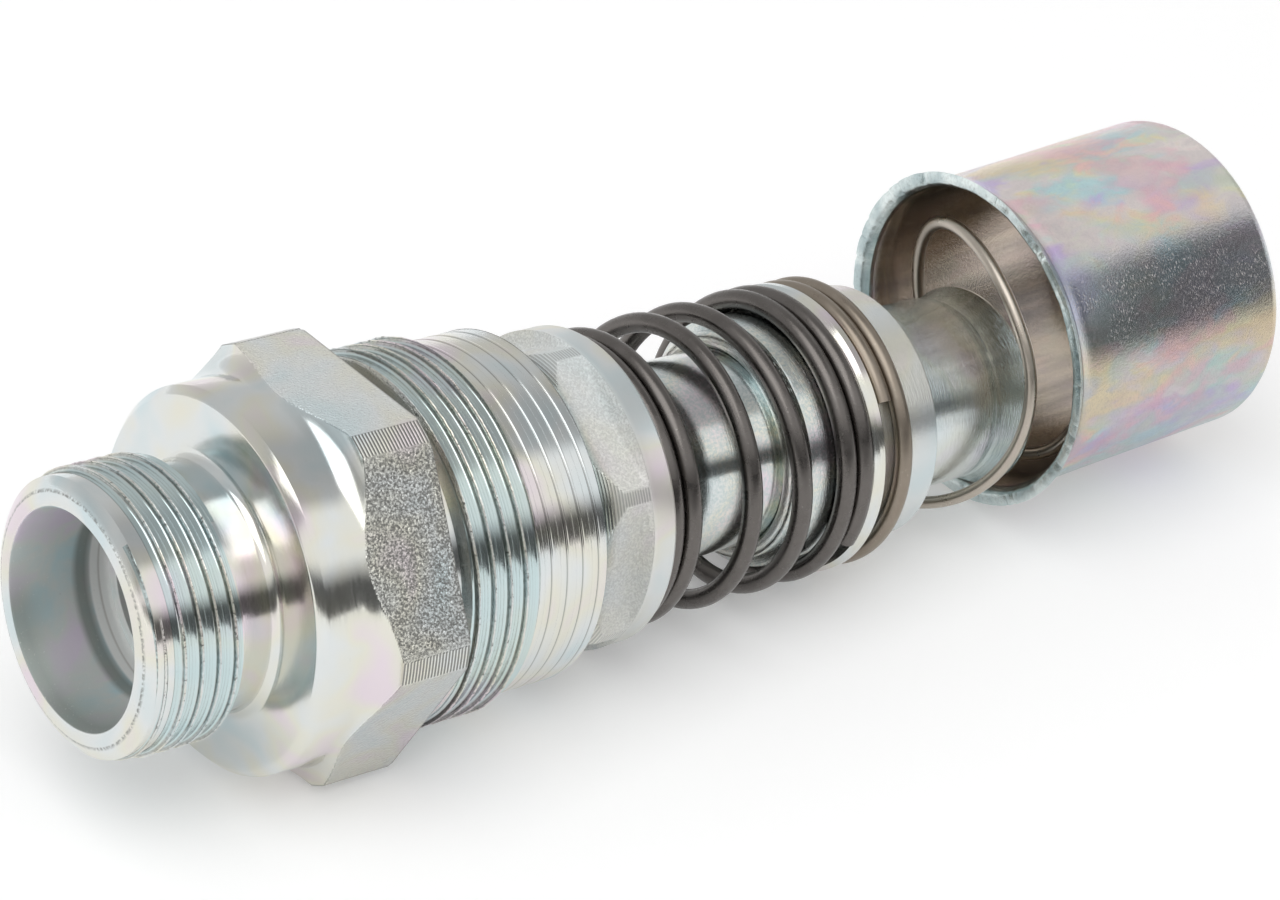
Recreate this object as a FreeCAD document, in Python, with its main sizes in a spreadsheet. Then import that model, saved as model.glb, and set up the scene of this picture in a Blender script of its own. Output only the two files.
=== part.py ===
"""Hydraulic multi-coupler cartridge, lying on its side with its flow axis along X.

The port face is at the origin and the nose points along +X. A port fitting holds a guide nut with a flow
tube. A valve sleeve slides on the tube against the main spring and carries the shut-off poppet. A drawn cup
with a light spring of its own hangs loose over the nose, as it lies when the cartridge is out of its block.
"""

import FreeCAD
import Part
import Sketcher
import math
import os
from types import SimpleNamespace

# Driving sizes in millimetres, angles in degrees. Lengths run along the flow axis.
SIZES = {
    # Port end: outside thread, 24 degree cone and tube socket.
    "port_thread_dia": 30.0,
    "port_thread_length": 11.6,
    "port_face_dia": 26.6,
    "port_chamfer_length": 1.3,
    "cone_mouth_dia": 22.9,
    "cone_depth": 6.6,
    "tube_socket_dia": 20.1,
    "tube_socket_depth": 11.0,
    "flow_dia": 16.0,
    "runout_length": 0.9,
    "undercut_dia": 25.8,
    "undercut_length": 4.5,
    "undercut_fillet": 1.2,
    # Collar and hexagon of the port body.
    "collar_dia": 40.6,
    "collar_face_dia": 38.8,
    "collar_length": 5.1,
    "collar_chamfer_length": 0.9,
    "hex_flats": 41.0,
    "hex_corner_dia": 46.0,
    "hex_length": 11.2,
    "hex_flare_length": 3.0,
    "hex_back_chamfer": 0.2,
    # Thread that screws into the coupler block, and the land behind it.
    "relief_dia": 36.8,
    "relief_length": 2.0,
    "body_thread_dia": 40.0,
    "body_thread_length": 9.5,
    "body_thread_chamfer": 1.0,
    "land_dia": 37.9,
    "land_length": 8.5,
    "land_chamfer": 0.4,
    # Guide nut, screwed into the back of the port body.
    "nut_engagement": 12.4,
    "nut_thread_dia": 28.0,
    "nut_thread_clearance": 0.1,
    "nut_entry_chamfer": 1.0,
    "nut_front_chamfer": 0.5,
    "nut_cone_recess": 0.4,
    "nut_cone_length": 4.5,
    "nut_hex_flats": 31.0,
    "nut_corner_dia": 34.8,
    "nut_hex_length": 3.4,
    "nut_turn": 27.0,
    "flange_dia": 34.2,
    "flange_length": 3.1,
    "flange_chamfer": 0.35,
    "tube_dia": 21.8,
    "tube_length": 27.5,
    "tube_root_round": 0.8,
    "tube_end_chamfer": 0.8,
    # Seal of the guide nut.
    "nut_groove_inset": 2.4,
    "nut_seal_section": 2.0,
    "backup_thickness": 0.9,
    "groove_play": 0.1,
    # Ring on the flow tube that stops the valve sleeve.
    "stop_inset": 2.3,
    "stop_width": 1.0,
    "stop_groove_depth": 0.6,
    "stop_radial_width": 1.3,
    "stop_clearance": 0.4,
    "stop_gap": 0.05,
    "ring_opening": 40.0,
    # Valve sleeve from its lip to its shoulder.
    "slide_clearance": 0.05,
    "guide_land_length": 6.15,
    "lip_drop": 1.2,
    "lip_round": 1.0,
    "lip_length": 1.4,
    "lip_rise_length": 0.8,
    "lip_entry_chamfer": 0.5,
    "sleeve_wall": 1.8,
    "sleeve_length": 19.9,
    "sleeve_end_wall": 2.9,
    "shoulder_rise": 0.3,
    "shoulder_chamfer": 0.4,
    # Sliding seal inside the sleeve.
    "slide_seal_section": 1.5,
    "slide_groove_inset": 2.6,
    "slide_seal_clearance": 0.13,
    # Neck and flared nose of the sleeve.
    "neck_dia": 20.8,
    "neck_length": 11.1,
    "neck_step": 0.25,
    "neck_bore_dia": 16.6,
    "flare_length": 4.8,
    "nose_dia": 24.6,
    "nose_rim_width": 0.4,
    "nose_chamfer": 0.4,
    "seat_inset": 6.6,
    "seat_length": 3.0,
    "seat_dia": 11.6,
    # Ring of the front face.
    "face_seal_dia": 18.2,
    "face_seal_section": 1.9,
    "face_groove_depth": 1.5,
    # Poppet, its guide and its ring.
    "circlip_inset": 0.7,
    "circlip_width": 0.9,
    "circlip_groove_depth": 0.6,
    "circlip_radial_width": 1.65,
    "guide_rim_width": 1.8,
    "guide_hub_length": 2.8,
    "guide_hub_dia": 6.8,
    "guide_hole_dia": 2.6,
    "guide_hole_edge": 0.65,
    "stem_dia": 4.0,
    "stem_tail": 3.2,
    "poppet_head_dia": 13.2,
    "poppet_head_length": 3.1,
    "poppet_tip_dia": 10.8,
    "poppet_tip_inset": 0.2,
    "seat_gap": 0.45,
    "poppet_seal_section": 1.24,
    "poppet_seal_stand": 0.57,
    "poppet_seal_inset": 0.8,
    # Coil springs, the washer and the round wire ring.
    "main_coil_clearance": 0.3,
    "main_wire": 2.2,
    "main_coil_gap": 0.1,
    "washer_width": 2.2,
    "washer_thickness": 1.7,
    "washer_clearance": 0.1,
    "washer_edge": 0.5,
    "ring_inset": 8.0,
    "ring_wire": 1.9,
    "ring_pitch": 2.0,
    "ring_play": 0.05,
    "poppet_spring_dia": 8.8,
    "poppet_wire": 0.8,
    # Drawn cup and its light spring, both tipped up from the flow axis.
    "cup_spring_room": 2.27,
    "cup_floor_gap": 23.605,
    "cup_wall": 1.1,
    "cup_rim_flare": 1.51,
    "cup_rim_width": 1.39,
    "cup_flare_length": 3.5,
    "cup_end_round": 1.3,
    "cup_opening_dia": 25.0,
    "cup_overlap": 1.79,
    "cup_hang_gap": 0.29,
    "cup_tilt": 3.81,
    "cup_spring_clearance": 0.86,
    "cup_wire": 1.4,
    "cup_spring_lead": 12.03,
    "cup_spring_rise": 7.75,
    "cup_spring_back": 15.45,
    "cup_spring_lift": 2.71,
    "cup_spring_tilt": 5.5,
}

HEX_SIDES = 6
GUIDE_HOLES = 6
# Azimuths run round the flow axis from the near side (0) over the top (90), in degrees.
MAIN_SPRING_START = 117.0
MAIN_SPRING_END_SHARE = 0.78
# Shares of the free travel that the open half turns of the main spring take, back and front in turn.
MAIN_SPRING_SHARES = (0.386, 0.0, 0.271, 0.081, 0.262)
SNAP_RING_START = 36.6
SNAP_RING_HALF_TURNS = 3
SNAP_RING_END_SHARE = 0.7
POPPET_SPRING_HALF_TURNS = 9
CUP_SPRING_START = -147.0
CUP_SPRING_HALF_TURNS = 1


class Size:
    """A length that knows its value and the sheet expression that drives it."""

    def __init__(self, value, text):
        self.value = value
        self.text = text

    def joined(self, other, sign, value):
        return Size(value, f"({self.text} {sign} {as_size(other).text})")

    def __add__(self, other):
        return self.joined(other, "+", self.value + as_size(other).value)

    def __sub__(self, other):
        return self.joined(other, "-", self.value - as_size(other).value)

    def __mul__(self, other):
        return self.joined(other, "*", self.value * as_size(other).value)

    def __truediv__(self, other):
        return self.joined(other, "/", self.value / as_size(other).value)


def as_size(number):
    """A plain number as a size of its own."""
    if isinstance(number, Size):
        return number
    return Size(float(number), str(number))


ZERO = as_size(0)

doc = FreeCAD.newDocument("MultiCoupler")
sheet = doc.addObject("Spreadsheet::Sheet", "Sizes")
for row, (alias, number) in enumerate(SIZES.items(), start=1):
    sheet.set(f"A{row}", alias)
    sheet.set(f"B{row}", str(number))
    sheet.setAlias(f"B{row}", alias)
doc.recompute()

d = SimpleNamespace(**{alias: Size(number, f"Sizes.{alias}") for alias, number in SIZES.items()})

# Stations along the flow axis, each from the one before it.
collar_front = d.port_thread_length + d.undercut_length
collar_back = collar_front + d.collar_length
hex_back = collar_back + d.hex_length
relief_back = hex_back + d.relief_length
body_thread_back = relief_back + d.body_thread_length
land_back = body_thread_back + d.land_length
nut_front = land_back - d.nut_engagement
nut_cone_front = land_back - d.nut_cone_recess
nut_hex_front = nut_cone_front + d.nut_cone_length
flange_front = nut_hex_front + d.nut_hex_length
flange_back = flange_front + d.flange_length
tube_end = flange_back + d.tube_length
stop_front = tube_end - d.stop_inset
guide_land_back = stop_front - d.stop_gap
sleeve_front = guide_land_back - d.guide_land_length
shoulder_back = sleeve_front + d.sleeve_length
wall_front = shoulder_back - d.sleeve_end_wall
neck_back = shoulder_back + d.neck_length
flare_back = neck_back + d.flare_length
nose_end = flare_back + d.nose_rim_width + d.nose_chamfer
ring_centre = shoulder_back - d.ring_inset
washer_back = ring_centre - d.ring_wire / 2 - d.ring_play
washer_front = washer_back - d.washer_thickness
circlip_front = wall_front + d.circlip_inset
circlip_back = circlip_front + d.circlip_width
guide_front = circlip_back + d.groove_play
guide_face = guide_front + d.guide_rim_width
guide_back = guide_front + d.guide_hub_length
seat_front = nose_end - d.seat_inset
seat_back = seat_front + d.seat_length

# Radii that two pieces share.
flow_radius = d.flow_dia / 2
nut_radius = d.nut_thread_dia / 2
tube_radius = d.tube_dia / 2
stop_inner = tube_radius - d.stop_groove_depth
stop_outer = stop_inner + d.stop_radial_width
sleeve_bore_radius = stop_outer + d.stop_clearance
sleeve_radius = sleeve_bore_radius + d.sleeve_wall
shoulder_radius = sleeve_radius + d.shoulder_rise
neck_bore_radius = d.neck_bore_dia / 2
seat_radius = d.seat_dia / 2
head_radius = d.poppet_head_dia / 2
tip_radius = d.poppet_tip_dia / 2
nose_radius = d.nose_dia / 2
cup_coil_radius = nose_radius + d.cup_spring_clearance + d.cup_wire / 2
cup_bore_radius = cup_coil_radius + d.cup_wire / 2 + d.cup_spring_room
cup_radius = cup_bore_radius + d.cup_wall
cup_rim_radius = cup_radius + d.cup_rim_flare
cup_rim_inner = cup_rim_radius - d.cup_rim_width


def tangent_radius(length, rise):
    """Radius of the arc that leaves a cylinder tangentially and rises over a length."""
    return (length * length + rise * rise) / (rise * 2)


def origin_feature(body, role):
    return next(feature for feature in body.Origin.OriginFeatures if feature.Role == role)


def bind_point(sketch, element, end, x, y):
    """Place one end of a sketch element by its sizes from the sketch's origin."""
    for kind, axis, size in (("DistanceX", -2, x), ("DistanceY", -1, y)):
        if size is ZERO:
            sketch.addConstraint(Sketcher.Constraint("PointOnObject", element, end, axis))
            continue
        index = sketch.addConstraint(Sketcher.Constraint(kind, -1, 1, element, end, size.value))
        sketch.setExpression(f"Constraints[{index}]", size.text)


def arc_between(start, end, radius, bend):
    """Arc of a radius from start to end, bulging left (1) or right (-1) of the way between them."""
    chord = end - start
    left = FreeCAD.Vector(-chord.y, chord.x, 0).normalize()
    height = radius - math.sqrt(radius**2 - chord.Length**2 / 4)
    return Part.Arc(start, (start + end) / 2 + left * (bend * height), end)


def outline(body, points):
    """Sketch a closed half section: x along the flow axis, y outward from it.

    A point is (x, y), or (x, y, radius, bend) where an arc leads from it to the next point.
    """
    sketch = body.newObject("Sketcher::SketchObject", "Section")
    sketch.AttachmentSupport = (origin_feature(body, "XY_Plane"), [""])
    sketch.MapMode = "FlatFace"
    corners = [FreeCAD.Vector(point[0].value, point[1].value, 0) for point in points]
    ends = []
    for index, point in enumerate(points):
        start = corners[index]
        stop = corners[(index + 1) % len(points)]
        if len(point) == 2:
            sketch.addGeometry(Part.LineSegment(start, stop), False)
            ends.append((1, 2))
            continue
        radius, bend = point[2:]
        sketch.addGeometry(arc_between(start, stop, radius.value, bend), False)
        ends.append((2, 1) if bend > 0 else (1, 2))
    for index, point in enumerate(points):
        following = (index + 1) % len(points)
        joint = Sketcher.Constraint("Coincident", index, ends[index][1], following, ends[following][0])
        sketch.addConstraint(joint)
        bind_point(sketch, index, ends[index][0], point[0], point[1])
        if len(point) > 2:
            constraint = sketch.addConstraint(Sketcher.Constraint("Radius", index, point[2].value))
            sketch.setExpression(f"Constraints[{constraint}]", point[2].text)
    return sketch


def turned(label, points, opening=ZERO):
    """A body turned about the flow axis from its half section, less an opening in degrees."""
    body = doc.addObject("PartDesign::Body", label)
    body.Label = label
    sketch = outline(body, points)
    revolution = body.newObject("PartDesign::Revolution", "Turned")
    revolution.Profile = sketch
    revolution.ReferenceAxis = (sketch, ["H_Axis"])
    revolution.Angle = 360 - opening.value
    if opening is not ZERO:
        revolution.setExpression("Angle", f"360 - {opening.text}")
    doc.recompute()
    return body


def cross_sketch(body, name, station):
    """An empty sketch square to the flow axis at a station."""
    sketch = body.newObject("Sketcher::SketchObject", name)
    sketch.AttachmentSupport = (origin_feature(body, "YZ_Plane"), [""])
    sketch.MapMode = "FlatFace"
    sketch.setExpression("AttachmentOffset.Base.z", station.text)
    return sketch


def cut_round_axis(body, sketch, length, count):
    """Cut a sketch along +X and repeat the cut evenly round the flow axis."""
    before = body.Shape.Volume
    pocket = body.newObject("PartDesign::Pocket", "Cut")
    pocket.Profile = sketch
    pocket.setExpression("Length", length.text)
    pocket.Reversed = True
    pattern = body.newObject("PartDesign::PolarPattern", "Cuts")
    pattern.Originals = [pocket]
    pattern.Axis = (origin_feature(body, "X_Axis"), [""])
    pattern.Angle = 360
    pattern.Occurrences = count
    body.Tip = pattern
    doc.recompute()
    if not body.Shape.Volume < before:
        raise RuntimeError(f"{body.Label}: the cuts took nothing away")


def cut_hexagon(body, start, length, across_flats, corner_dia):
    """Mill six flats, one of them level on top."""
    sketch = cross_sketch(body, "Flat", start)
    half = corner_dia / 2
    low = across_flats / 2
    corners = [(-half.value, low.value), (half.value, low.value), (half.value, corner_dia.value),
               (-half.value, corner_dia.value)]
    for index, corner in enumerate(corners):
        following = corners[(index + 1) % len(corners)]
        sketch.addGeometry(Part.LineSegment(FreeCAD.Vector(*corner, 0), FreeCAD.Vector(*following, 0)), False)
    for index in range(len(corners)):
        sketch.addConstraint(Sketcher.Constraint("Coincident", index, 2, (index + 1) % len(corners), 1))
    for index, direction in enumerate(("Vertical", "Horizontal", "Vertical"), start=1):
        sketch.addConstraint(Sketcher.Constraint(direction, index))
    sketch.addConstraint(Sketcher.Constraint("Symmetric", 0, 1, 0, 2, -2))
    bind_point(sketch, 0, 2, half, low)
    height = sketch.addConstraint(Sketcher.Constraint("DistanceY", -1, 1, 2, 1, corner_dia.value))
    sketch.setExpression(f"Constraints[{height}]", corner_dia.text)
    cut_round_axis(body, sketch, length, HEX_SIDES)


def ring(label, station, mean_dia, section):
    """A round seal ring about the flow axis, centred on a station."""
    torus = doc.addObject("Part::Torus", label)
    torus.Label = label
    torus.setExpression("Radius1", (mean_dia / 2).text)
    torus.setExpression("Radius2", (section / 2).text)
    torus.Placement = FreeCAD.Placement(FreeCAD.Vector(), FreeCAD.Rotation(FreeCAD.Vector(0, 1, 0), 90))
    torus.setExpression("Placement.Base.x", station.text)
    return torus


def flat_ring(label, front, width, inner, outer, opening=ZERO):
    """A ring of rectangular section, split by an opening where one is given."""
    back = front + width
    return turned(label, [(front, inner), (front, outer), (back, outer), (back, inner)], opening)


def round_axis(azimuth, radius, station):
    """Point at an azimuth, a distance from the X axis and a station along it."""
    angle = math.radians(azimuth)
    return FreeCAD.Vector(station, -radius * math.cos(angle), radius * math.sin(angle))


def coil(label, mean_radius, wire, start_azimuth, hand, stations, end_share=1.0):
    """A wire coil of half turns, each a flat arc tipped to reach the next station.

    The arcs meet square to the axis, so the wire is smooth. hand is 1 where the azimuth grows along +X. The
    last half turn ends at end_share of its arc.
    """
    arcs = []
    azimuth = start_azimuth
    for index, (first, last) in enumerate(zip(stations, stations[1:])):
        start = round_axis(azimuth, mean_radius, first)
        centre = FreeCAD.Vector((first + last) / 2, 0, 0)
        reach = start - centre
        across = round_axis(azimuth + hand * 90, reach.Length, 0)
        share = end_share if index == len(stations) - 2 else 1.0
        middle = centre + reach * math.cos(math.pi * share / 2) + across * math.sin(math.pi * share / 2)
        end = centre + reach * math.cos(math.pi * share) + across * math.sin(math.pi * share)
        arcs.append(Part.Arc(start, middle, end).toShape())
        azimuth += hand * 180
    first_point = round_axis(start_azimuth, mean_radius, stations[0])
    heading = round_axis(start_azimuth + hand * 90, 1, 0)
    section = Part.Wire([Part.Circle(first_point, heading, wire / 2).toShape()])
    feature = doc.addObject("Part::Feature", label)
    feature.Label = label
    feature.Shape = Part.Wire(arcs).makePipeShell([section], True, False)
    return feature


def even_stations(first, last, count):
    return [first + (last - first) * index / count for index in range(count + 1)]


def port_body():
    """Port fitting: port thread and cone, collar, hexagon, body thread and land, bored for flow and nut."""
    thread = d.port_thread_dia / 2
    undercut = d.undercut_dia / 2
    collar = d.collar_dia / 2
    corner = d.hex_corner_dia / 2
    relief = d.relief_dia / 2
    body_thread = d.body_thread_dia / 2
    land = d.land_dia / 2
    socket = nut_radius + d.nut_thread_clearance
    tube = d.tube_socket_dia / 2
    body = turned("port_body", [
        (ZERO, d.cone_mouth_dia / 2),
        (ZERO, d.port_face_dia / 2),
        (d.port_chamfer_length, thread),
        (d.port_thread_length - d.runout_length, thread),
        (d.port_thread_length, undercut),
        (collar_front - d.undercut_fillet, undercut, d.undercut_fillet, -1),
        (collar_front, undercut + d.undercut_fillet),
        (collar_front, d.collar_face_dia / 2),
        (collar_front + d.collar_chamfer_length, collar),
        (collar_back, collar, tangent_radius(d.hex_flare_length, corner - collar), -1),
        (collar_back + d.hex_flare_length, corner),
        (hex_back - d.hex_back_chamfer, corner),
        (hex_back, corner - d.hex_back_chamfer),
        (hex_back, relief),
        (relief_back, relief),
        (relief_back + d.body_thread_chamfer, body_thread),
        (body_thread_back - d.body_thread_chamfer, body_thread),
        (body_thread_back, land),
        (land_back - d.land_chamfer, land),
        (land_back, land - d.land_chamfer),
        (land_back, socket + d.nut_entry_chamfer),
        (land_back - d.nut_entry_chamfer, socket),
        (nut_front, socket),
        (nut_front, flow_radius),
        (d.tube_socket_depth, flow_radius),
        (d.tube_socket_depth, tube),
        (d.cone_depth, tube),
    ])
    cut_hexagon(body, collar_back, d.hex_length, d.hex_flats, d.hex_corner_dia)
    return body


nut_groove_front = nut_front + d.nut_groove_inset
nut_groove_back = nut_groove_front + d.nut_seal_section + d.backup_thickness + d.groove_play * 2
nut_groove_radius = nut_radius - d.nut_seal_section


def guide_nut():
    """Nut with a turned cone, hexagon and spring flange, and the flow tube that guides the valve sleeve."""
    corner = d.nut_corner_dia / 2
    flange = d.flange_dia / 2
    stop_back = stop_front + d.stop_width + d.groove_play
    body = turned("guide_nut", [
        (nut_front, flow_radius),
        (nut_front, nut_radius - d.nut_front_chamfer),
        (nut_front + d.nut_front_chamfer, nut_radius),
        (nut_groove_front, nut_radius),
        (nut_groove_front, nut_groove_radius),
        (nut_groove_back, nut_groove_radius),
        (nut_groove_back, nut_radius),
        (nut_cone_front, nut_radius),
        (nut_hex_front, corner),
        (flange_front, corner),
        (flange_front, flange),
        (flange_back - d.flange_chamfer, flange),
        (flange_back, flange - d.flange_chamfer),
        (flange_back, tube_radius + d.tube_root_round, d.tube_root_round, -1),
        (flange_back + d.tube_root_round, tube_radius),
        (stop_front, tube_radius),
        (stop_front, stop_inner),
        (stop_back, stop_inner),
        (stop_back, tube_radius),
        (tube_end - d.tube_end_chamfer, tube_radius),
        (tube_end, tube_radius - d.tube_end_chamfer),
        (tube_end, flow_radius),
    ])
    cut_hexagon(body, nut_cone_front, flange_front - nut_cone_front, d.nut_hex_flats, d.nut_corner_dia)
    body.Placement = FreeCAD.Placement(
        FreeCAD.Vector(), FreeCAD.Rotation(FreeCAD.Vector(1, 0, 0), d.nut_turn.value))
    return body


def nut_seals():
    """Seal ring and backup ring in the groove of the guide nut."""
    seal_station = nut_groove_front + d.groove_play + d.nut_seal_section / 2
    seal_dia = d.nut_thread_dia - d.nut_seal_section
    backup_front = nut_groove_back - d.backup_thickness
    return [
        ring("nut_seal", seal_station, seal_dia, d.nut_seal_section),
        flat_ring("nut_backup_ring", backup_front, d.backup_thickness, nut_groove_radius, nut_radius),
    ]


def stop_ring():
    front = stop_front + d.groove_play / 2
    return flat_ring("stop_ring", front, d.stop_width, stop_inner, stop_outer, d.ring_opening)


slide_bore = tube_radius + d.slide_clearance
slide_seal_inner = tube_radius + d.slide_seal_clearance
slide_groove_radius = slide_seal_inner + d.slide_seal_section
slide_groove_front = sleeve_front + d.slide_groove_inset
slide_groove_back = slide_groove_front + d.slide_seal_section + d.backup_thickness + d.groove_play * 2
face_groove_floor = nose_end - d.face_groove_depth
face_groove_outer = (d.face_seal_dia + d.face_seal_section) / 2 + d.groove_play
face_groove_inner = (d.face_seal_dia - d.face_seal_section) / 2 - d.groove_play


def valve_sleeve():
    """Sleeve with a rounded lip and a raised shoulder, then a thinner neck that flares to the nose."""
    lip = sleeve_radius - d.lip_drop
    lip_back = sleeve_front + d.lip_length
    neck = d.neck_dia / 2
    neck_low = neck - d.neck_step
    circlip_radius = neck_bore_radius + d.circlip_groove_depth
    circlip_end = circlip_back + d.groove_play
    return turned("valve_sleeve", [
        (sleeve_front, slide_bore + d.lip_entry_chamfer),
        (sleeve_front, lip - d.lip_round, d.lip_round, 1),
        (sleeve_front + d.lip_round, lip),
        (lip_back, lip),
        (lip_back + d.lip_rise_length, sleeve_radius),
        (washer_back, sleeve_radius),
        (washer_back, shoulder_radius),
        (shoulder_back - d.shoulder_chamfer, shoulder_radius),
        (shoulder_back, shoulder_radius - d.shoulder_chamfer),
        (shoulder_back, neck),
        (neck_back, neck),
        (neck_back, neck_low, tangent_radius(d.flare_length, nose_radius - neck_low), -1),
        (flare_back, nose_radius),
        (flare_back + d.nose_rim_width, nose_radius),
        (nose_end, nose_radius - d.nose_chamfer),
        (nose_end, face_groove_outer),
        (face_groove_floor, face_groove_outer),
        (face_groove_floor, face_groove_inner),
        (nose_end, face_groove_inner),
        (nose_end, seat_radius),
        (seat_back, seat_radius),
        (seat_front, neck_bore_radius),
        (circlip_end, neck_bore_radius),
        (circlip_end, circlip_radius),
        (circlip_front, circlip_radius),
        (circlip_front, neck_bore_radius),
        (wall_front, neck_bore_radius),
        (wall_front, sleeve_bore_radius),
        (guide_land_back, sleeve_bore_radius),
        (guide_land_back, slide_bore),
        (slide_groove_back, slide_bore),
        (slide_groove_back, slide_groove_radius),
        (slide_groove_front, slide_groove_radius),
        (slide_groove_front, slide_bore),
        (sleeve_front + d.lip_entry_chamfer, slide_bore),
    ])


def sleeve_seals():
    """Sliding seal and backup ring inside the sleeve, and the ring of the front face."""
    seal_station = slide_groove_front + d.groove_play + d.slide_seal_section / 2
    seal_dia = slide_seal_inner * 2 + d.slide_seal_section
    backup = d.backup_thickness
    face_station = face_groove_floor + d.face_seal_section / 2
    return [
        ring("sleeve_seal", seal_station, seal_dia, d.slide_seal_section),
        flat_ring(
            "sleeve_backup_ring", slide_groove_back - backup, backup, slide_seal_inner, slide_groove_radius),
        ring("face_seal", face_station, d.face_seal_dia, d.face_seal_section),
    ]


def spring_washer():
    """Flat washer with its outer edges eased."""
    inner = sleeve_radius + d.washer_clearance
    outer = inner + d.washer_width
    return turned("spring_washer", [
        (washer_front, inner),
        (washer_front, outer - d.washer_edge),
        (washer_front + d.washer_edge, outer),
        (washer_back - d.washer_edge, outer),
        (washer_back, outer - d.washer_edge),
        (washer_back, inner),
    ])


def snap_ring():
    """Round wire ring of about a turn and a third, its ends side by side over the top."""
    wire = d.ring_wire
    radius = shoulder_radius + wire / 2 + d.ring_play
    half_pitch = d.ring_pitch.value / 2
    stations = [ring_centre.value + half_pitch * turn for turn in range(SNAP_RING_HALF_TURNS + 1)]
    return coil("snap_ring", radius.value, wire.value, SNAP_RING_START, 1, stations, SNAP_RING_END_SHARE)


def main_spring():
    """Compression spring from the flange to the washer: closed end coils, open ones that rise at the back."""
    wire = d.main_wire.value
    closed = wire + d.main_coil_gap.value
    first = flange_back.value + wire / 2
    last = washer_front.value - wire / 2
    settle = d.main_coil_gap.value
    rises = [settle, closed, settle]
    free = (last - first) - 2 * closed - 3 * settle
    rises += [free * share for share in MAIN_SPRING_SHARES]
    rises += [settle / 2, closed, settle / 2]
    stations = [first]
    for rise in rises:
        stations.append(stations[-1] + rise)
    radius = sleeve_radius + d.main_coil_clearance + d.main_wire / 2
    return coil("main_spring", radius.value, wire, MAIN_SPRING_START, -1, stations, MAIN_SPRING_END_SHARE)


def valve_guide():
    """Guide disc of the poppet stem, with a hub for the spring and holes for the flow."""
    rim = neck_bore_radius - d.slide_clearance
    hub = d.guide_hub_dia / 2
    bore = d.stem_dia / 2 + d.slide_clearance
    body = turned("valve_guide", [
        (guide_front, bore),
        (guide_front, rim),
        (guide_face, rim),
        (guide_face, hub),
        (guide_back, hub),
        (guide_back, bore),
    ])
    sketch = cross_sketch(body, "FlowHole", guide_front)
    hole_circle = rim - d.guide_hole_edge - d.guide_hole_dia / 2
    centre = FreeCAD.Vector(0, hole_circle.value, 0)
    sketch.addGeometry(Part.Circle(centre, FreeCAD.Vector(0, 0, 1), d.guide_hole_dia.value / 2), False)
    bind_point(sketch, 0, 3, ZERO, hole_circle)
    index = sketch.addConstraint(Sketcher.Constraint("Diameter", 0, d.guide_hole_dia.value))
    sketch.setExpression(f"Constraints[{index}]", d.guide_hole_dia.text)
    cut_round_axis(body, sketch, d.guide_rim_width, GUIDE_HOLES)
    return body


def guide_circlip():
    outer = neck_bore_radius + d.circlip_groove_depth
    inner = outer - d.circlip_radial_width
    front = circlip_front + d.groove_play
    return flat_ring("guide_circlip", front, d.circlip_width, inner, outer, d.ring_opening)


seat_slope = (neck_bore_radius - seat_radius) / d.seat_length
poppet_cone_front = seat_front + (neck_bore_radius - head_radius) / seat_slope - d.seat_gap
poppet_cone_back = poppet_cone_front + (head_radius - tip_radius) / seat_slope
poppet_head_front = poppet_cone_front - d.poppet_head_length
poppet_seal_station = poppet_cone_front - d.poppet_seal_inset
poppet_seal_outer = head_radius + d.poppet_seal_stand


def poppet():
    """Shut-off poppet: stem, head with a seal groove, seat cone and a tip level with the nose."""
    stem = d.stem_dia / 2
    groove = poppet_seal_outer - d.poppet_seal_section
    groove_half = d.poppet_seal_section / 2 + d.groove_play / 2
    tip_end = nose_end - d.poppet_tip_inset
    return turned("poppet", [
        (guide_front - d.stem_tail, ZERO),
        (guide_front - d.stem_tail, stem),
        (poppet_head_front, stem),
        (poppet_head_front, head_radius),
        (poppet_seal_station - groove_half, head_radius),
        (poppet_seal_station - groove_half, groove),
        (poppet_seal_station + groove_half, groove),
        (poppet_seal_station + groove_half, head_radius),
        (poppet_cone_front, head_radius),
        (poppet_cone_back, tip_radius),
        (tip_end, tip_radius),
        (tip_end, ZERO),
    ])


def poppet_seal():
    seal_dia = poppet_seal_outer * 2 - d.poppet_seal_section
    return ring("poppet_seal", poppet_seal_station, seal_dia, d.poppet_seal_section)


def poppet_spring():
    """Small coil spring from the guide disc to the back of the poppet head."""
    wire = d.poppet_wire.value
    first = guide_face.value + wire / 2
    last = poppet_head_front.value - wire / 2
    stations = even_stations(first, last, POPPET_SPRING_HALF_TURNS)
    return coil("poppet_spring", d.poppet_spring_dia.value / 2, wire, 0.0, -1, stations)


def tipped_up(degrees):
    """Turn about Y that lifts the +X end."""
    return FreeCAD.Rotation(FreeCAD.Vector(0, 1, 0), -degrees)


cup_rim_station = nose_end - d.cup_overlap
cup_spring_front = nose_end - d.cup_spring_back
cup_spring_length = d.cup_spring_lead + d.cup_spring_rise * CUP_SPRING_HALF_TURNS + d.cup_wire / 8
cup_floor = cup_spring_front + cup_spring_length + d.cup_wire / 2 + d.cup_floor_gap - cup_rim_station
cup_length = cup_floor + d.cup_wall


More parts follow.
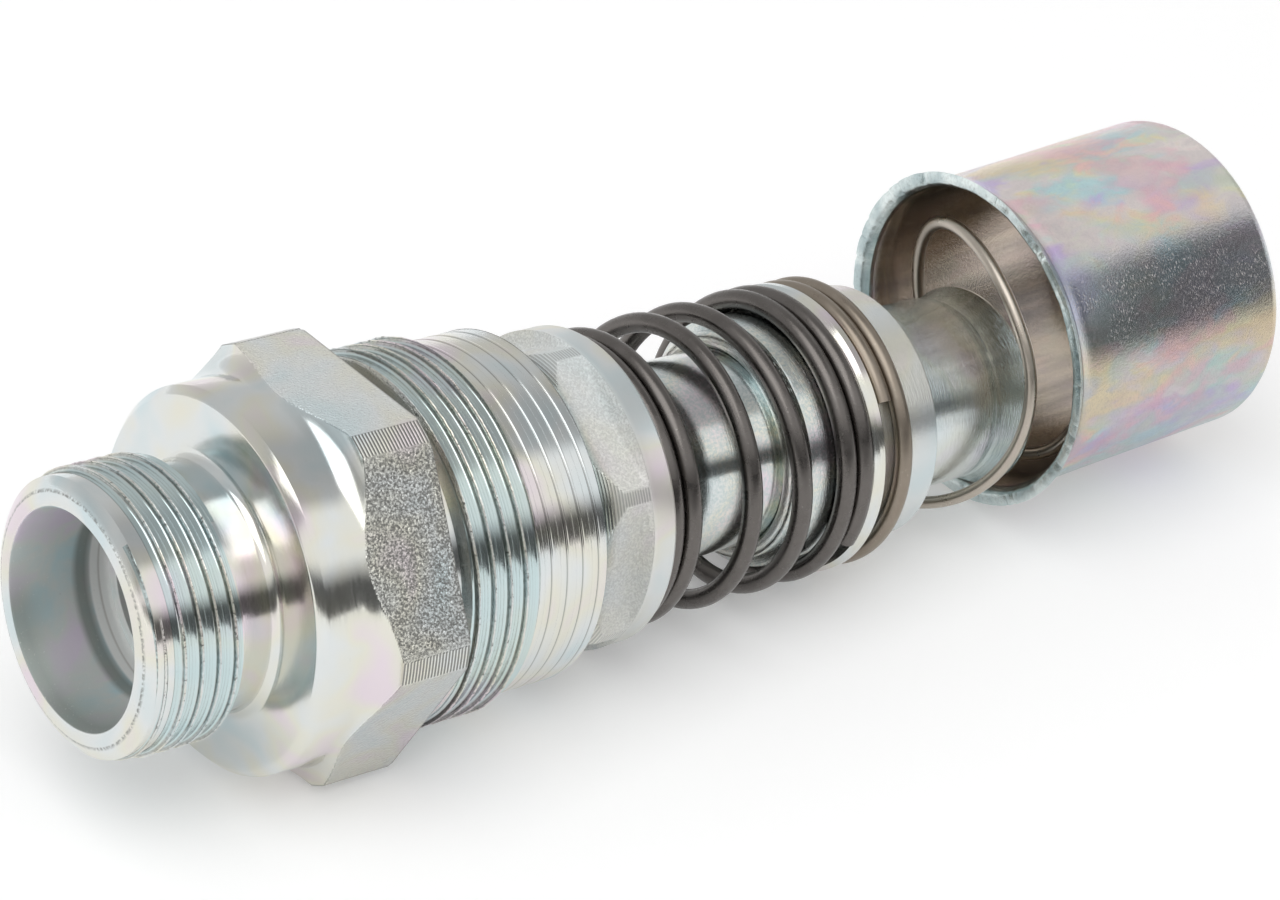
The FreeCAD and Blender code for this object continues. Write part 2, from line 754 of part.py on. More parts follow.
def drawn_cup():
    """Drawn sleeve with a flared rim towards the port and a turned-in far end, tipped up as it lies."""
    opening = d.cup_opening_dia / 2
    outer_flare = tangent_radius(d.cup_flare_length, d.cup_rim_flare)
    inner_flare = tangent_radius(d.cup_flare_length, cup_rim_inner - cup_bore_radius)
    inner_round = d.cup_end_round - d.cup_wall
    body = turned("drawn_cup", [
        (ZERO, cup_rim_inner),
        (ZERO, cup_rim_radius, outer_flare, -1),
        (d.cup_flare_length, cup_radius),
        (cup_length - d.cup_end_round, cup_radius, d.cup_end_round, 1),
        (cup_length, cup_radius - d.cup_end_round),
        (cup_length, opening),
        (cup_floor, opening),
        (cup_floor, cup_bore_radius - inner_round, inner_round, -1),
        (cup_floor - inner_round, cup_bore_radius),
        (d.cup_flare_length, cup_bore_radius, inner_flare, 1),
    ])
    lift = cup_rim_inner - nose_radius - d.cup_hang_gap
    place = FreeCAD.Vector(cup_rim_station.value, 0, lift.value)
    body.Placement = FreeCAD.Placement(place, tipped_up(d.cup_tilt.value))
    return body


def cup_spring():
    """Light wire spring: one open loop round the nose and a flat half turn inside the rim of the cup."""
    wire = d.cup_wire.value
    lead = d.cup_spring_lead.value
    stations = [0.0]
    stations += [lead + d.cup_spring_rise.value * turn for turn in range(CUP_SPRING_HALF_TURNS + 1)]
    stations.append(stations[-1] + wire / 8)
    feature = coil("cup_spring", cup_coil_radius.value, wire, CUP_SPRING_START, 1, stations)
    place = FreeCAD.Vector(cup_spring_front.value, 0, d.cup_spring_lift.value)
    feature.Placement = FreeCAD.Placement(place, tipped_up(d.cup_spring_tilt.value))
    return feature


def check(parts):
    """Stop where an object failed or a piece is not a sound solid."""
    for item in doc.Objects:
        if "Invalid" in item.State or "Error" in item.State:
            raise RuntimeError(f"{item.Label} did not build: {item.State}")
    for part in parts:
        shape = part.Shape
        if shape.isNull() or not shape.isValid() or len(shape.Solids) != 1 or shape.Volume <= 0:
            raise RuntimeError(f"{part.Label} is not one sound solid")


def main():
    parts = [port_body(), guide_nut(), *nut_seals(), stop_ring(), valve_sleeve(), *sleeve_seals()]
    parts += [spring_washer(), snap_ring(), main_spring(), valve_guide(), guide_circlip()]
    parts += [poppet(), poppet_seal(), poppet_spring(), drawn_cup(), cup_spring()]
    doc.recompute()
    check(parts)
    os.makedirs("parts", exist_ok=True)
    for part in parts:
        part.Shape.exportStep(f"parts/{part.Label}.step")


main()
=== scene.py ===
"""Dress a hydraulic multi-coupler cartridge: its threads, springs, plated finishes and studio stage."""

import math
from collections import namedtuple

import bpy
from bpy.props import FloatProperty, FloatVectorProperty, IntProperty, PointerProperty
from bpy.types import Operator, Panel, PropertyGroup
from mathutils import Matrix, Vector, noise


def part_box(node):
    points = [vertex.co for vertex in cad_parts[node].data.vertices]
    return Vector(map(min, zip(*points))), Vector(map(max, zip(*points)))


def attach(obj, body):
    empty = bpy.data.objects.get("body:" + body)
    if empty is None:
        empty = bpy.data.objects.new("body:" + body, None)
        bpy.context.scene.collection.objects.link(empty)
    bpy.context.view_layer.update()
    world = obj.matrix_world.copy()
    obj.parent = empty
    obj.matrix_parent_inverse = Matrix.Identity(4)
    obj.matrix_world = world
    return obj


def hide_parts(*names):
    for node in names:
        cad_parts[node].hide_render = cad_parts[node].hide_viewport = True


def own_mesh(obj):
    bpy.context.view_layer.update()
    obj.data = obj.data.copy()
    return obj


bl_info = {
    "name": "Multi-coupler cartridge",
    "version": (1, 0, 0),
    "blender": (4, 5, 0),
    "location": "View3D > Sidebar > Coupler",
    "description": "Builds the visible pieces of a plated hydraulic coupler cartridge",
    "category": "Object",
}

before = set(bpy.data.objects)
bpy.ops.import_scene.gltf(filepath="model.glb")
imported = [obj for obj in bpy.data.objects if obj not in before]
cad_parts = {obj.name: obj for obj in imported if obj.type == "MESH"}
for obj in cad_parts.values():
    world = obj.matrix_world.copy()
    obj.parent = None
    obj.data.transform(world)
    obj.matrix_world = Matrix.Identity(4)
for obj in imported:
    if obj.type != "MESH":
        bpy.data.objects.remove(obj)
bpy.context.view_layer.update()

MM = 0.001
TURN = 2 * math.pi
HEX_SIDES = 6
# Faces round a turned piece.
COLUMNS = 480


# ---------------------------------------------------------------------------------------------
# Node trees
# ---------------------------------------------------------------------------------------------

class Graph:
    """A node tree that is written from its inputs to its output."""

    def __init__(self, tree):
        self.tree = tree

    def add(self, kind, sockets=None, **settings):
        """A node with its settings, and its sockets set or linked by name or index."""
        node = self.tree.nodes.new(kind)
        for name, value in settings.items():
            setattr(node, name, value)
        for name, value in (sockets or {}).items():
            self.put(value, node.inputs[name])
        return node

    def put(self, value, socket):
        if isinstance(value, bpy.types.NodeSocket):
            self.tree.links.new(value, socket)
        else:
            socket.default_value = value

    def math(self, operation, first, second=0.0, third=0.0):
        sockets = {0: first, 1: second, 2: third}
        return self.add("ShaderNodeMath", sockets, operation=operation).outputs[0]

    def times(self, first, *others):
        """The product of two or more values."""
        for other in others:
            first = self.math("MULTIPLY", first, other)
        return first

    def rest(self, share):
        """What a share leaves of one."""
        return self.math("SUBTRACT", 1.0, share)

    def azimuth(self, y, z):
        """The angle round the flow axis: 0 at the near side, a quarter turn at the top."""
        return self.math("ARCTAN2", z, self.times(y, -1.0))

    def vector(self, operation, first, second=None, scale=None):
        node = self.add("ShaderNodeVectorMath", {0: first}, operation=operation)
        if second is not None:
            self.put(second, node.inputs[1])
        if scale is not None:
            self.put(scale, node.inputs["Scale"])
        return node.outputs["Value" if operation == "LENGTH" else "Vector"]

    def split(self, vector):
        return self.add("ShaderNodeSeparateXYZ", {0: vector}).outputs

    def join(self, x, y, z):
        return self.add("ShaderNodeCombineXYZ", {0: x, 1: y, 2: z}).outputs[0]

    def span(self, value, low, high, start=0.0, end=1.0, smooth=False):
        """A value between low and high, taken to the range from start to end and held there."""
        kind = "SMOOTHSTEP" if smooth else "LINEAR"
        sockets = {"Value": value, "From Min": low, "From Max": high, "To Min": start, "To Max": end}
        return self.add("ShaderNodeMapRange", sockets, interpolation_type=kind).outputs["Result"]

    def curve(self, value, points):
        """A value through a drawn curve of straight and rounded runs."""
        node = self.add("ShaderNodeFloatCurve", {"Factor": 1.0, "Value": value})
        line = node.mapping.curves[0]
        for index, point in enumerate(points):
            if index < 2:
                line.points[index].location = point
            else:
                line.points.new(*point)
        for point in line.points:
            point.handle_type = "AUTO_CLAMPED"
        node.mapping.update()
        return node.outputs["Value"]

    def ramp(self, value, stops):
        """Colours between stops, in rising order."""
        node = self.add("ShaderNodeValToRGB", {0: value})
        elements = node.color_ramp.elements
        elements[0].position, elements[1].position = stops[0][0], stops[-1][0]
        elements[0].color, elements[1].color = (*stops[0][1], 1.0), (*stops[-1][1], 1.0)
        for place, colour in stops[1:-1]:
            elements.new(place).color = (*colour, 1.0)
        return node.outputs[0]


def round_axis(graph, position):
    """The distance along the flow axis, the radius and the azimuth."""
    x, y, z = graph.split(position)
    return x, graph.vector("LENGTH", graph.join(0.0, y, z)), graph.azimuth(y, z)


def at_azimuth(graph, x, radius, azimuth):
    """The position at a station, radius and azimuth."""
    across = graph.times(graph.math("COSINE", azimuth), graph.times(radius, -1.0))
    return graph.join(x, across, graph.times(graph.math("SINE", azimuth), radius))


class Maker(Graph):
    """A geometry tree with named inputs, which ends in Realize Instances and Set Material."""

    def __init__(self, name, sizes):
        super().__init__(bpy.data.node_groups.new(name, "GeometryNodeTree"))
        sockets = self.tree.interface
        sockets.new_socket("Geometry", in_out="OUTPUT", socket_type="NodeSocketGeometry")
        self.names = {}
        rows = [("Geometry", "NodeSocketGeometry")]
        rows += [(size, "NodeSocketInt" if size == "Columns" else "NodeSocketFloat") for size in sizes]
        rows += [("Finish", "NodeSocketMaterial")]
        for label, kind in rows:
            self.names[label] = sockets.new_socket(label, in_out="INPUT", socket_type=kind).identifier
        self.input = self.add("NodeGroupInput").outputs

    def mark(self, geometry, name, value):
        sockets = {"Geometry": geometry, "Name": name, "Value": value}
        return self.add("GeometryNodeStoreNamedAttribute", sockets, data_type="FLOAT").outputs[0]

    def place(self, geometry, position):
        sockets = {"Geometry": geometry, "Position": position}
        return self.add("GeometryNodeSetPosition", sockets).outputs[0]

    def end(self, geometry):
        realized = self.add("GeometryNodeRealizeInstances", {"Geometry": geometry}).outputs[0]
        sockets = {"Geometry": realized, "Material": self.input["Finish"]}
        finished = self.add("GeometryNodeSetMaterial", sockets).outputs[0]
        self.add("NodeGroupOutput", {0: finished})

    def run(self, piece, finish, sizes):
        """Give the piece this tree with its sizes, and leave the result as its plain mesh."""
        modifier = piece.modifiers.new("Made", "NODES")
        modifier.node_group = self.tree
        for label, value in sizes.items():
            modifier[self.names[label]] = value
        modifier[self.names["Finish"]] = finish
        piece.update_tag()
        graph = bpy.context.evaluated_depsgraph_get()
        made = bpy.data.meshes.new_from_object(
            piece.evaluated_get(graph), preserve_all_data_layers=True, depsgraph=graph)
        piece.modifiers.clear()
        piece.data = made
        if not made.polygons:
            raise RuntimeError(f"{piece.name}: its tree made no faces")


# Share of the half width across flats under which a radius belongs to the bore.
BORE_SHARE = 0.93


def flats_tree():
    """Mill flats round the flow axis into a turned blank, and mark where they are."""
    maker = Maker("Milled flats", ("Start", "End", "Across Flats", "Turn", "Run-out"))
    size = maker.input
    position = maker.add("GeometryNodeInputPosition").outputs[0]
    x, radius, azimuth = round_axis(maker, position)
    half_side = math.pi / HEX_SIDES
    turned = maker.math("SUBTRACT", azimuth, size["Turn"])
    local = maker.math("WRAP", turned, half_side, -half_side)
    apothem = maker.times(size["Across Flats"], 0.5)
    limit = maker.math("DIVIDE", apothem, maker.math("COSINE", local))
    begun = maker.math("GREATER_THAN", x, size["Start"])
    inside = maker.times(begun, maker.math("LESS_THAN", x, size["End"]))
    solid = maker.math("GREATER_THAN", radius, maker.times(apothem, BORE_SHARE))
    proud = maker.math("GREATER_THAN", radius, limit)
    cut = maker.times(inside, solid, proud)
    marked = maker.mark(size["Geometry"], "flat", cut)
    lift = maker.math("SUBTRACT", size["End"], size["Run-out"])
    share = maker.times(cut, maker.span(x, lift, size["End"], 1.0, 0.0, smooth=True))
    depth = maker.times(share, maker.math("SUBTRACT", radius, limit))
    milled = maker.place(marked, at_azimuth(maker, x, maker.math("SUBTRACT", radius, depth), azimuth))
    maker.end(milled)
    return maker


THREAD_SIZES = (
    "Start", "Turns", "Pitch", "Start Angle", "Crest Radius", "Depth", "Burr", "Front Station",
    "Front Radius", "Front Slope", "Back Station", "Back Radius", "Back Slope", "Land Station",
    "Land Radius", "Score Depth", "Last Station", "Columns")
# Depth of the groove over one pitch: a broad round valley on each side of a narrow crest.
THREAD_FORM = (
    (0.0, 1.0), (1.0, 1.0), (0.27, 0.97), (0.36, 0.82), (0.43, 0.12), (0.455, 0.0), (0.5, 0.06),
    (0.545, 0.0), (0.57, 0.12), (0.64, 0.82), (0.73, 0.97))
# Depth of the tool's score over one pitch of the land: a narrow cut with a raised lip behind it.
SCORE_FORM = (
    (0.0, 0.25), (1.0, 0.25), (0.36, 0.25), (0.41, 0.9), (0.46, 0.75), (0.5, 0.1), (0.54, 0.04),
    (0.6, 0.25))
# Points across one pitch, grain of the ragged crests per metre, and what joins neighbouring turns.
THREAD_ROWS = 41
BURR_GRAIN = 1500.0
SEAM = 2e-7
# Turns in which the thread rises from below its valleys, and that depth as a share of the thread's.
RUN_IN = 0.6
SUNK_DEPTH = 1.1


def thread_tree():
    """A screw thread as one helical band of crest and valley, which may run out into a scored land."""
    maker = Maker("Screw thread", THREAD_SIZES)
    size = maker.input
    length = maker.times(size["Turns"], size["Columns"])
    grid = maker.add("GeometryNodeMeshGrid", {
        "Size X": 1.0, "Size Y": 1.0, "Vertices X": maker.math("ADD", length, 1.0),
        "Vertices Y": THREAD_ROWS})
    along, across, _ = maker.split(maker.add("GeometryNodeInputPosition").outputs[0])
    turn = maker.times(maker.math("ADD", along, 0.5), size["Turns"])
    across = maker.math("ADD", across, 0.5)
    station = maker.math("MULTIPLY_ADD", maker.math("ADD", turn, across), size["Pitch"], size["Start"])
    azimuth = maker.math("MULTIPLY_ADD", turn, -TURN, size["Start Angle"])

    groove = maker.curve(across, THREAD_FORM)
    score = maker.curve(across, SCORE_FORM)
    crest = maker.math("SUBTRACT", size["Crest Radius"], maker.times(groove, size["Depth"]))
    rough = maker.add("ShaderNodeTexNoise", {
        "Vector": at_azimuth(maker, station, size["Crest Radius"], azimuth), "Scale": BURR_GRAIN,
        "Detail": 3.0})
    ragged = maker.span(rough.outputs[0], 0.5, 0.72)
    top = maker.span(groove, 0.25, 0.0)
    crest = maker.math("MULTIPLY_ADD", maker.times(ragged, top), size["Burr"], crest)
    land = maker.math("SUBTRACT", size["Land Radius"], maker.times(score, size["Score Depth"]))
    behind = maker.math("GREATER_THAN", station, size["Land Station"])
    threaded = maker.times(crest, maker.rest(behind))
    radius = maker.math("MULTIPLY_ADD", land, behind, threaded)

    front = maker.math("SUBTRACT", station, size["Front Station"])
    front = maker.math("MULTIPLY_ADD", front, size["Front Slope"], size["Front Radius"])
    back = maker.math("SUBTRACT", station, size["Back Station"])
    back = maker.math("MULTIPLY_ADD", back, size["Back Slope"], size["Back Radius"])
    back = maker.math("MAXIMUM", back, maker.times(size["Land Radius"], behind))
    radius = maker.math("MINIMUM", radius, maker.math("MINIMUM", front, back))
    root = maker.math("SUBTRACT", size["Crest Radius"], maker.times(size["Depth"], SUNK_DEPTH))
    fade_in = maker.span(turn, 0.0, RUN_IN, smooth=True)
    sunk = maker.math("MINIMUM", radius, root)
    radius = maker.math("MULTIPLY_ADD", maker.math("SUBTRACT", radius, sunk), fade_in, sunk)

    station = maker.math("MINIMUM", station, size["Last Station"])
    shape = maker.mark(grid.outputs["Mesh"], "groove", maker.times(groove, maker.rest(behind)))
    shape = maker.mark(shape, "across", across)
    shape = maker.mark(shape, "land", behind)
    shape = maker.place(shape, at_azimuth(maker, station, radius, azimuth))
    shape = maker.add("GeometryNodeMergeByDistance", {"Geometry": shape, "Distance": SEAM}).outputs[0]
    maker.end(shape)
    return maker


def wire_tree():
    """A round wire along a bent path, marked along its length and round its section."""
    maker = Maker("Spring wire", ("Wire", "Columns"))
    size = maker.input
    path = maker.add("GeometryNodeMeshToCurve", {"Mesh": size["Geometry"]}).outputs[0]
    spline = maker.add("GeometryNodeSplineParameter").outputs
    path = maker.mark(path, "along", spline["Length"])
    section = maker.add("GeometryNodeCurvePrimitiveCircle", {
        "Resolution": size["Columns"], "Radius": maker.times(size["Wire"], 0.5)}).outputs[0]
    section = maker.mark(section, "round", spline["Factor"])
    sockets = {"Curve": path, "Profile Curve": section, "Fill Caps": True}
    maker.end(maker.add("GeometryNodeCurveToMesh", sockets).outputs[0])
    return maker


# ---------------------------------------------------------------------------------------------
# Turned shapes
# ---------------------------------------------------------------------------------------------

def tangent_flare(foot, rim, count):
    """Points of an arc that leaves the cylinder at foot along the axis and rises to rim."""
    length, rise = rim[0] - foot[0], rim[1] - foot[1]
    bend = (length**2 + rise**2) / (2 * rise)
    full = math.asin(abs(length) / bend)
    way = math.copysign(bend, length)
    angles = [full * step / count for step in range(count + 1)]
    return [(foot[0] + way * math.sin(angle), foot[1] + bend * (1 - math.cos(angle))) for angle in angles]


def sweep(start, end, count):
    """Angles in radians from start to end in degrees, in a count of steps."""
    return [math.radians(start + (end - start) * step / count) for step in range(count + 1)]


def fillet(centre, radius, start, end, count):
    """Points of a round corner between two angles, 0 along the axis and 90 outward."""
    return [(centre[0] + radius * math.cos(angle), centre[1] + radius * math.sin(angle))
            for angle in sweep(start, end, count)]


def run(start, end, step):
    """Points of a straight run, start and end with it."""
    count = max(1, round(math.dist(start, end) / step))
    return [tuple(a + (b - a) * index / count for a, b in zip(start, end)) for index in range(count + 1)]


def turned_piece(name, section, columns=COLUMNS, shift=None):
    """A closed shell turned about the flow axis from a half section in millimetres."""
    points, faces = [], []
    for x, radius in section:
        for column in range(columns):
            azimuth = TURN * column / columns
            dx, dr = shift(x, radius, azimuth) if shift else (0.0, 0.0)
            out = radius + dr
            points.append(((x + dx) * MM, -out * math.cos(azimuth) * MM, out * math.sin(azimuth) * MM))
    rows = len(section)
    for row in range(rows):
        first, second = row * columns, (row + 1) % rows * columns
        for column in range(columns):
            after = (column + 1) % columns
            faces.append((first + column, second + column, second + after, first + after))
    return mesh_piece(name, points, faces)


def mesh_piece(name, points, faces, edges=()):
    """A new object of a plain mesh."""
    mesh = bpy.data.meshes.new(name)
    mesh.from_pydata(points, edges, faces)
    mesh.validate()
    piece = bpy.data.objects.new(name, mesh)
    bpy.context.scene.collection.objects.link(piece)
    return piece


# Angles in degrees past which an edge stays sharp.
MACHINED_EDGE = 24.0
DRAWN_EDGE = 28.0
THREAD_EDGE = 40.0
WIRE_EDGE = 50.0


def smooth(piece, angle):
    """Smooth shading that keeps the edges sharper than an angle."""
    piece.data.shade_smooth()
    piece.data.set_sharp_from_angle(angle=math.radians(angle))


def seat(piece, body, slot, *nodes):
    """Let a piece ride on its body and stand for its solids. Its finish slot is not used."""
    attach(piece, body)
    if nodes:
        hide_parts(*nodes)


def dress(node, material):
    """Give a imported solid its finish."""
    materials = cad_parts[node].data.materials
    if not materials:
        materials.append(material)
    for index in range(len(materials)):
        materials[index] = material


# ---------------------------------------------------------------------------------------------
# Finishes
# ---------------------------------------------------------------------------------------------

class Finish(Graph):
    """A metal, rubber or plastic finish on object coordinates in millimetres."""

    def __init__(self, name, place=None):
        self.material = bpy.data.materials.new(name)
        self.material.use_nodes = True
        super().__init__(self.material.node_tree)
        self.shader = self.tree.nodes["Principled BSDF"]
        point = self.add("ShaderNodeTexCoord").outputs["Object"]
        if place:
            location, tip = place
            sockets = {"Vector": point, "Location": location, "Rotation": (0.0, tip, 0.0)}
            point = self.add("ShaderNodeMapping", sockets, vector_type="TEXTURE").outputs[0]
        self.point = self.vector("SCALE", point, scale=1000.0)
        self.height = None

    def noise(self, vector, scale, detail=2.0, roughness=0.5, distortion=0.0):
        sockets = {"Vector": vector, "Scale": scale, "Detail": detail, "Roughness": roughness,
                   "Distortion": distortion}
        return self.add("ShaderNodeTexNoise", sockets).outputs[0]

    def lines(self, value, scale, detail=2.0, roughness=0.6):
        """Noise along one direction."""
        sockets = {"W": value, "Scale": scale, "Detail": detail, "Roughness": roughness}
        return self.add("ShaderNodeTexNoise", sockets, noise_dimensions="1D").outputs[0]

    def blend(self, share, first, second, kind="MIX"):
        node = self.add("ShaderNodeMix", {"Factor": share}, data_type="RGBA", blend_type=kind)
        for value, socket in ((first, node.inputs[6]), (second, node.inputs[7])):
            self.put(value if isinstance(value, bpy.types.NodeSocket) else (*value, 1.0), socket)
        return node.outputs[2]

    def mix(self, share, first, second):
        node = self.add("ShaderNodeMix", {"Factor": share}, data_type="FLOAT")
        self.put(first, node.inputs[2])
        self.put(second, node.inputs[3])
        return node.outputs[0]

    def attribute(self, name):
        return self.add("ShaderNodeAttribute", attribute_name=name).outputs["Fac"]

    def relief(self, height, depth_mm, strength=1.0):
        """Stack a relief of a depth on the surface."""
        sockets = {"Strength": strength, "Distance": depth_mm * MM, "Height": height}
        if self.height is not None:
            sockets["Normal"] = self.height
        self.height = self.add("ShaderNodeBump", sockets).outputs[0]

    def turning(self):
        """Station, radius, and noise that is drawn out round the flow axis."""
        x, y, z = self.split(self.point)
        spoke = self.join(0.0, y, z)
        radius = self.vector("LENGTH", spoke)
        heading = self.split(self.vector("NORMALIZE", spoke))
        way = self.math("MULTIPLY_ADD", radius, 1.37, x)
        rings = self.lines(way, 6.5, 4.0, 0.75)
        drawn = self.join(self.times(way, 6.0), self.times(heading[1], 7.0),
                          self.times(heading[2], 7.0))
        streaks = self.noise(drawn, 1.0, 3.0, 0.65)
        return x, radius, rings, streaks

    def cells(self, scale):
        """Distance from the middle of small grains."""
        sockets = {"Vector": self.point, "Scale": scale}
        return self.add("ShaderNodeTexVoronoi", sockets).outputs["Distance"]

    def zone(self, value, low, high, soft):
        """One where a value lies between low and high, with soft edges."""
        rise = self.span(value, low - soft, low + soft)
        return self.times(rise, self.span(value, high + soft, high - soft))

    def done(self, colour, roughness, metallic):
        self.put(colour, self.shader.inputs["Base Color"])
        self.put(roughness, self.shader.inputs["Roughness"])
        self.put(metallic, self.shader.inputs["Metallic"])
        if self.height is not None:
            self.put(self.height, self.shader.inputs["Normal"])
        return self.material


def zinc_tints(finish, colours):
    """Clouds of the plating's faint yellow, pink and blue."""
    cloud = finish.noise(finish.point, 0.11, 2.0, 0.4, 0.4)
    return finish.ramp(cloud, (
        (0.3, colours.zinc_blue), (0.44, colours.zinc), (0.56, colours.zinc_yellow),
        (0.68, colours.zinc_pink)))


def thread_wear(finish, colours, colour, soil_and_shade):
    """Blue-green film in the valleys, dark flanks, tool lines, and chips along the ragged crests."""
    groove, across, land = (finish.attribute(name) for name in ("groove", "across", "land"))
    threaded = finish.rest(land)
    valley = finish.span(groove, 0.3, 0.95)
    colour = finish.blend(finish.times(valley, 0.65), colour, colours.valley)
    crest = finish.times(finish.span(groove, 0.3, 0.1), threaded)
    chips = finish.noise(finish.point, 2.3, 4.0, 0.7)
    flank = finish.times(finish.zone(groove, 0.25, 0.7, 0.12), finish.span(chips, 0.3, 0.6, 0.25, 0.7))
    tool = finish.lines(across, 9.0, 3.0, 0.7)
    drag = finish.times(finish.span(tool, 0.56, 0.7), threaded, 0.35)
    score = finish.times(finish.zone(across, 0.385, 0.465, 0.02), land, 0.6)
    chipped = finish.times(crest, finish.span(chips, 0.57, 0.64))
    for mark in (flank, drag, score, chipped):
        soil_and_shade = finish.math("MAXIMUM", soil_and_shade, mark)
    finish.relief(finish.times(chips, crest), 0.09)
    finish.relief(tool, 0.014)
    return colour, soil_and_shade


# What a plated finish may have, with stations, radii and depths in millimetres and the rest as shares.
# Ribs.dark is how strongly the ribs' roots are darkened as painted shade.
Ribs = namedtuple("Ribs", "least last pitch depth dark")
Grain = namedtuple("Grain", "depth dull pitted pitted_near metal metal_near")
Satin = namedtuple("Satin", "first last least dull metal")
Stain = namedtuple("Stain", "first last soft least share whole colour")
# Azimuths between which the near flats lie, and how soft their edges are.
NEAR_FLAT = (math.radians(3.0), math.radians(57.0), math.radians(2.0))
# Lean of the ribs across a corner, and the width of their ends.
RIB_LEAN = 0.4
RIB_END = 0.05
# How softly a satin band ends along the axis and towards the bore.
SATIN_ENDS = (0.2, 0.1)


def corner_ribs(finish, x, radius, ribs):
    """Tool ribs on the corners that milling leaves, with their roots darkened as painted shade."""
    lean = finish.math("MULTIPLY_ADD", radius, RIB_LEAN, x)
    wave = finish.math("SINE", finish.times(lean, TURN / ribs.pitch))
    here = finish.times(finish.span(radius, ribs.least, ribs.least + RIB_END),
                        finish.span(x, ribs.last, ribs.last - RIB_END),
                        finish.rest(finish.attribute("flat")))
    finish.relief(finish.times(wave, here), ribs.depth)
    # Painted shade in the ribs' roots.
    return finish.times(finish.span(wave, 0.5, -0.1), here, ribs.dark)


def grained_flats(finish, soil_and_shade, roughness, metallic, grain):
    """Blasted grain on the milled flats, with dark pits that are deepest on the near flat."""
    flat = finish.attribute("flat")
    _, y, z = finish.split(finish.point)
    near = finish.zone(finish.azimuth(y, z), *NEAR_FLAT)
    bumps = finish.noise(finish.point, 3.9, 2.0, 0.5)
    height = finish.math("SUBTRACT", bumps, finish.times(finish.cells(3.1), 0.4))
    finish.relief(finish.times(height, flat), grain.depth)
    pits = finish.times(finish.span(bumps, 0.62, 0.42), finish.mix(near, grain.pitted, grain.pitted_near))
    soil_and_shade = finish.math("MAXIMUM", soil_and_shade, finish.times(pits, flat))
    metal = finish.mix(near, grain.metal, grain.metal_near)
    return soil_and_shade, finish.mix(flat, roughness, grain.dull), finish.mix(flat, metallic, metal)


def port_film(finish, colours, x, radius, colour, roughness, metallic):
    """Satin film inside the port: a clouded cone with painted shade on its low wall and at its root, a
    clean socket and a bore darkened as painted shade.
    """
    inside = finish.span(radius, 11.62, 11.5)
    clouds = finish.noise(finish.point, 0.16, 3.0, 0.55, 0.5)
    film = finish.ramp(clouds, (
        (0.34, colours.film_teal), (0.5, colours.film_grey), (0.64, colours.film_violet)))
    height = finish.split(finish.point)[2]
    # Painted shade: the cone's low wall near the mouth, a band at the cone's root and the deep bore are
    # darkened where shade falls in the port.
    shaded_low_wall = finish.times(finish.span(height, 6.0, -7.0), finish.span(x, 6.2, 1.2))
    socket, socket_line = finish.zone(x, 8.6, 11.06, 0.15), finish.zone(x, 9.55, 9.75, 0.1)
    shaded_cone_root, bore = finish.zone(x, 6.75, 8.3, 0.35), finish.span(x, 11.04, 11.1)
    dust = finish.span(finish.noise(finish.point, 4.0, 2.0, 0.6), 0.66, 0.74)
    coats = (
        (shaded_low_wall, 0.9, colours.socket_shade), (socket, 1.0, colours.socket),
        (socket_line, 0.4, colours.ring), (shaded_cone_root, 0.72, colours.socket_shade),
        (dust, 0.4, colours.zinc), (bore, 0.8, colours.soil_and_shade))
    for where, share, tint in coats:
        film = finish.blend(finish.times(where, share), film, tint)
    colour = finish.blend(inside, colour, film)
    metallic = finish.mix(inside, metallic, finish.mix(socket, 0.38, 0.15))
    return colour, finish.mix(inside, roughness, 0.42), metallic


def plated_finish(name, colours, brush=0.004, ribs=None, grain=None, satin=None, stains=(), thread=False,
                  port=False):
    """Bright zinc plate over turned steel, with the forms, stains, films and painted shade that a piece
    has.
    """
    finish = Finish(name)
    x, radius, rings, streaks = finish.turning()
    colour = zinc_tints(finish, colours)
    specks = finish.noise(finish.point, 2.6, 5.0, 0.7)
    soil_and_shade = finish.times(finish.span(specks, 0.66, 0.74), 0.35)
    roughness = finish.span(streaks, 0.3, 0.75, 0.08 + brush * 2, 0.19 + brush * 2)
    metallic = 1.0
    finish.relief(streaks, brush)
    finish.relief(rings, brush / 2)

    def band(form, soft, edge):
        """Where a form lies, by its stations and least radius."""
        return finish.times(finish.zone(x, form.first, form.last, soft),
                            finish.span(radius, form.least - edge, form.least + edge))

    if thread:
        colour, soil_and_shade = thread_wear(finish, colours, colour, soil_and_shade)
    if ribs:
        soil_and_shade = finish.math("MAXIMUM", soil_and_shade, corner_ribs(finish, x, radius, ribs))
    if satin:
        here = band(satin, *SATIN_ENDS)
        roughness = finish.mix(here, roughness, satin.dull)
        metallic = finish.mix(here, metallic, satin.metal)
    if grain:
        soil_and_shade, roughness, metallic = grained_flats(finish, soil_and_shade, roughness, metallic, grain)
    for stain in stains:
        here = finish.times(band(stain, stain.soft, stain.soft), stain.share)
        if not stain.whole:
            here = finish.times(here, finish.span(specks, 0.4, 0.58))
        colour = finish.blend(here, colour, stain.colour)
    if port:
        colour, roughness, metallic = port_film(finish, colours, x, radius, colour, roughness, metallic)
    colour = finish.blend(soil_and_shade, colour, colours.soil_and_shade)
    return finish.done(colour, roughness, metallic)


# Azimuths of the cup's side that mirrors the dark grey card, where a grey-blue tone is painted reflection
# and the scuffs gather, and how soft its edges are.
SCUFFED_REFLECTING_SIDE = (math.radians(18.0), math.radians(50.0), math.radians(7.0))


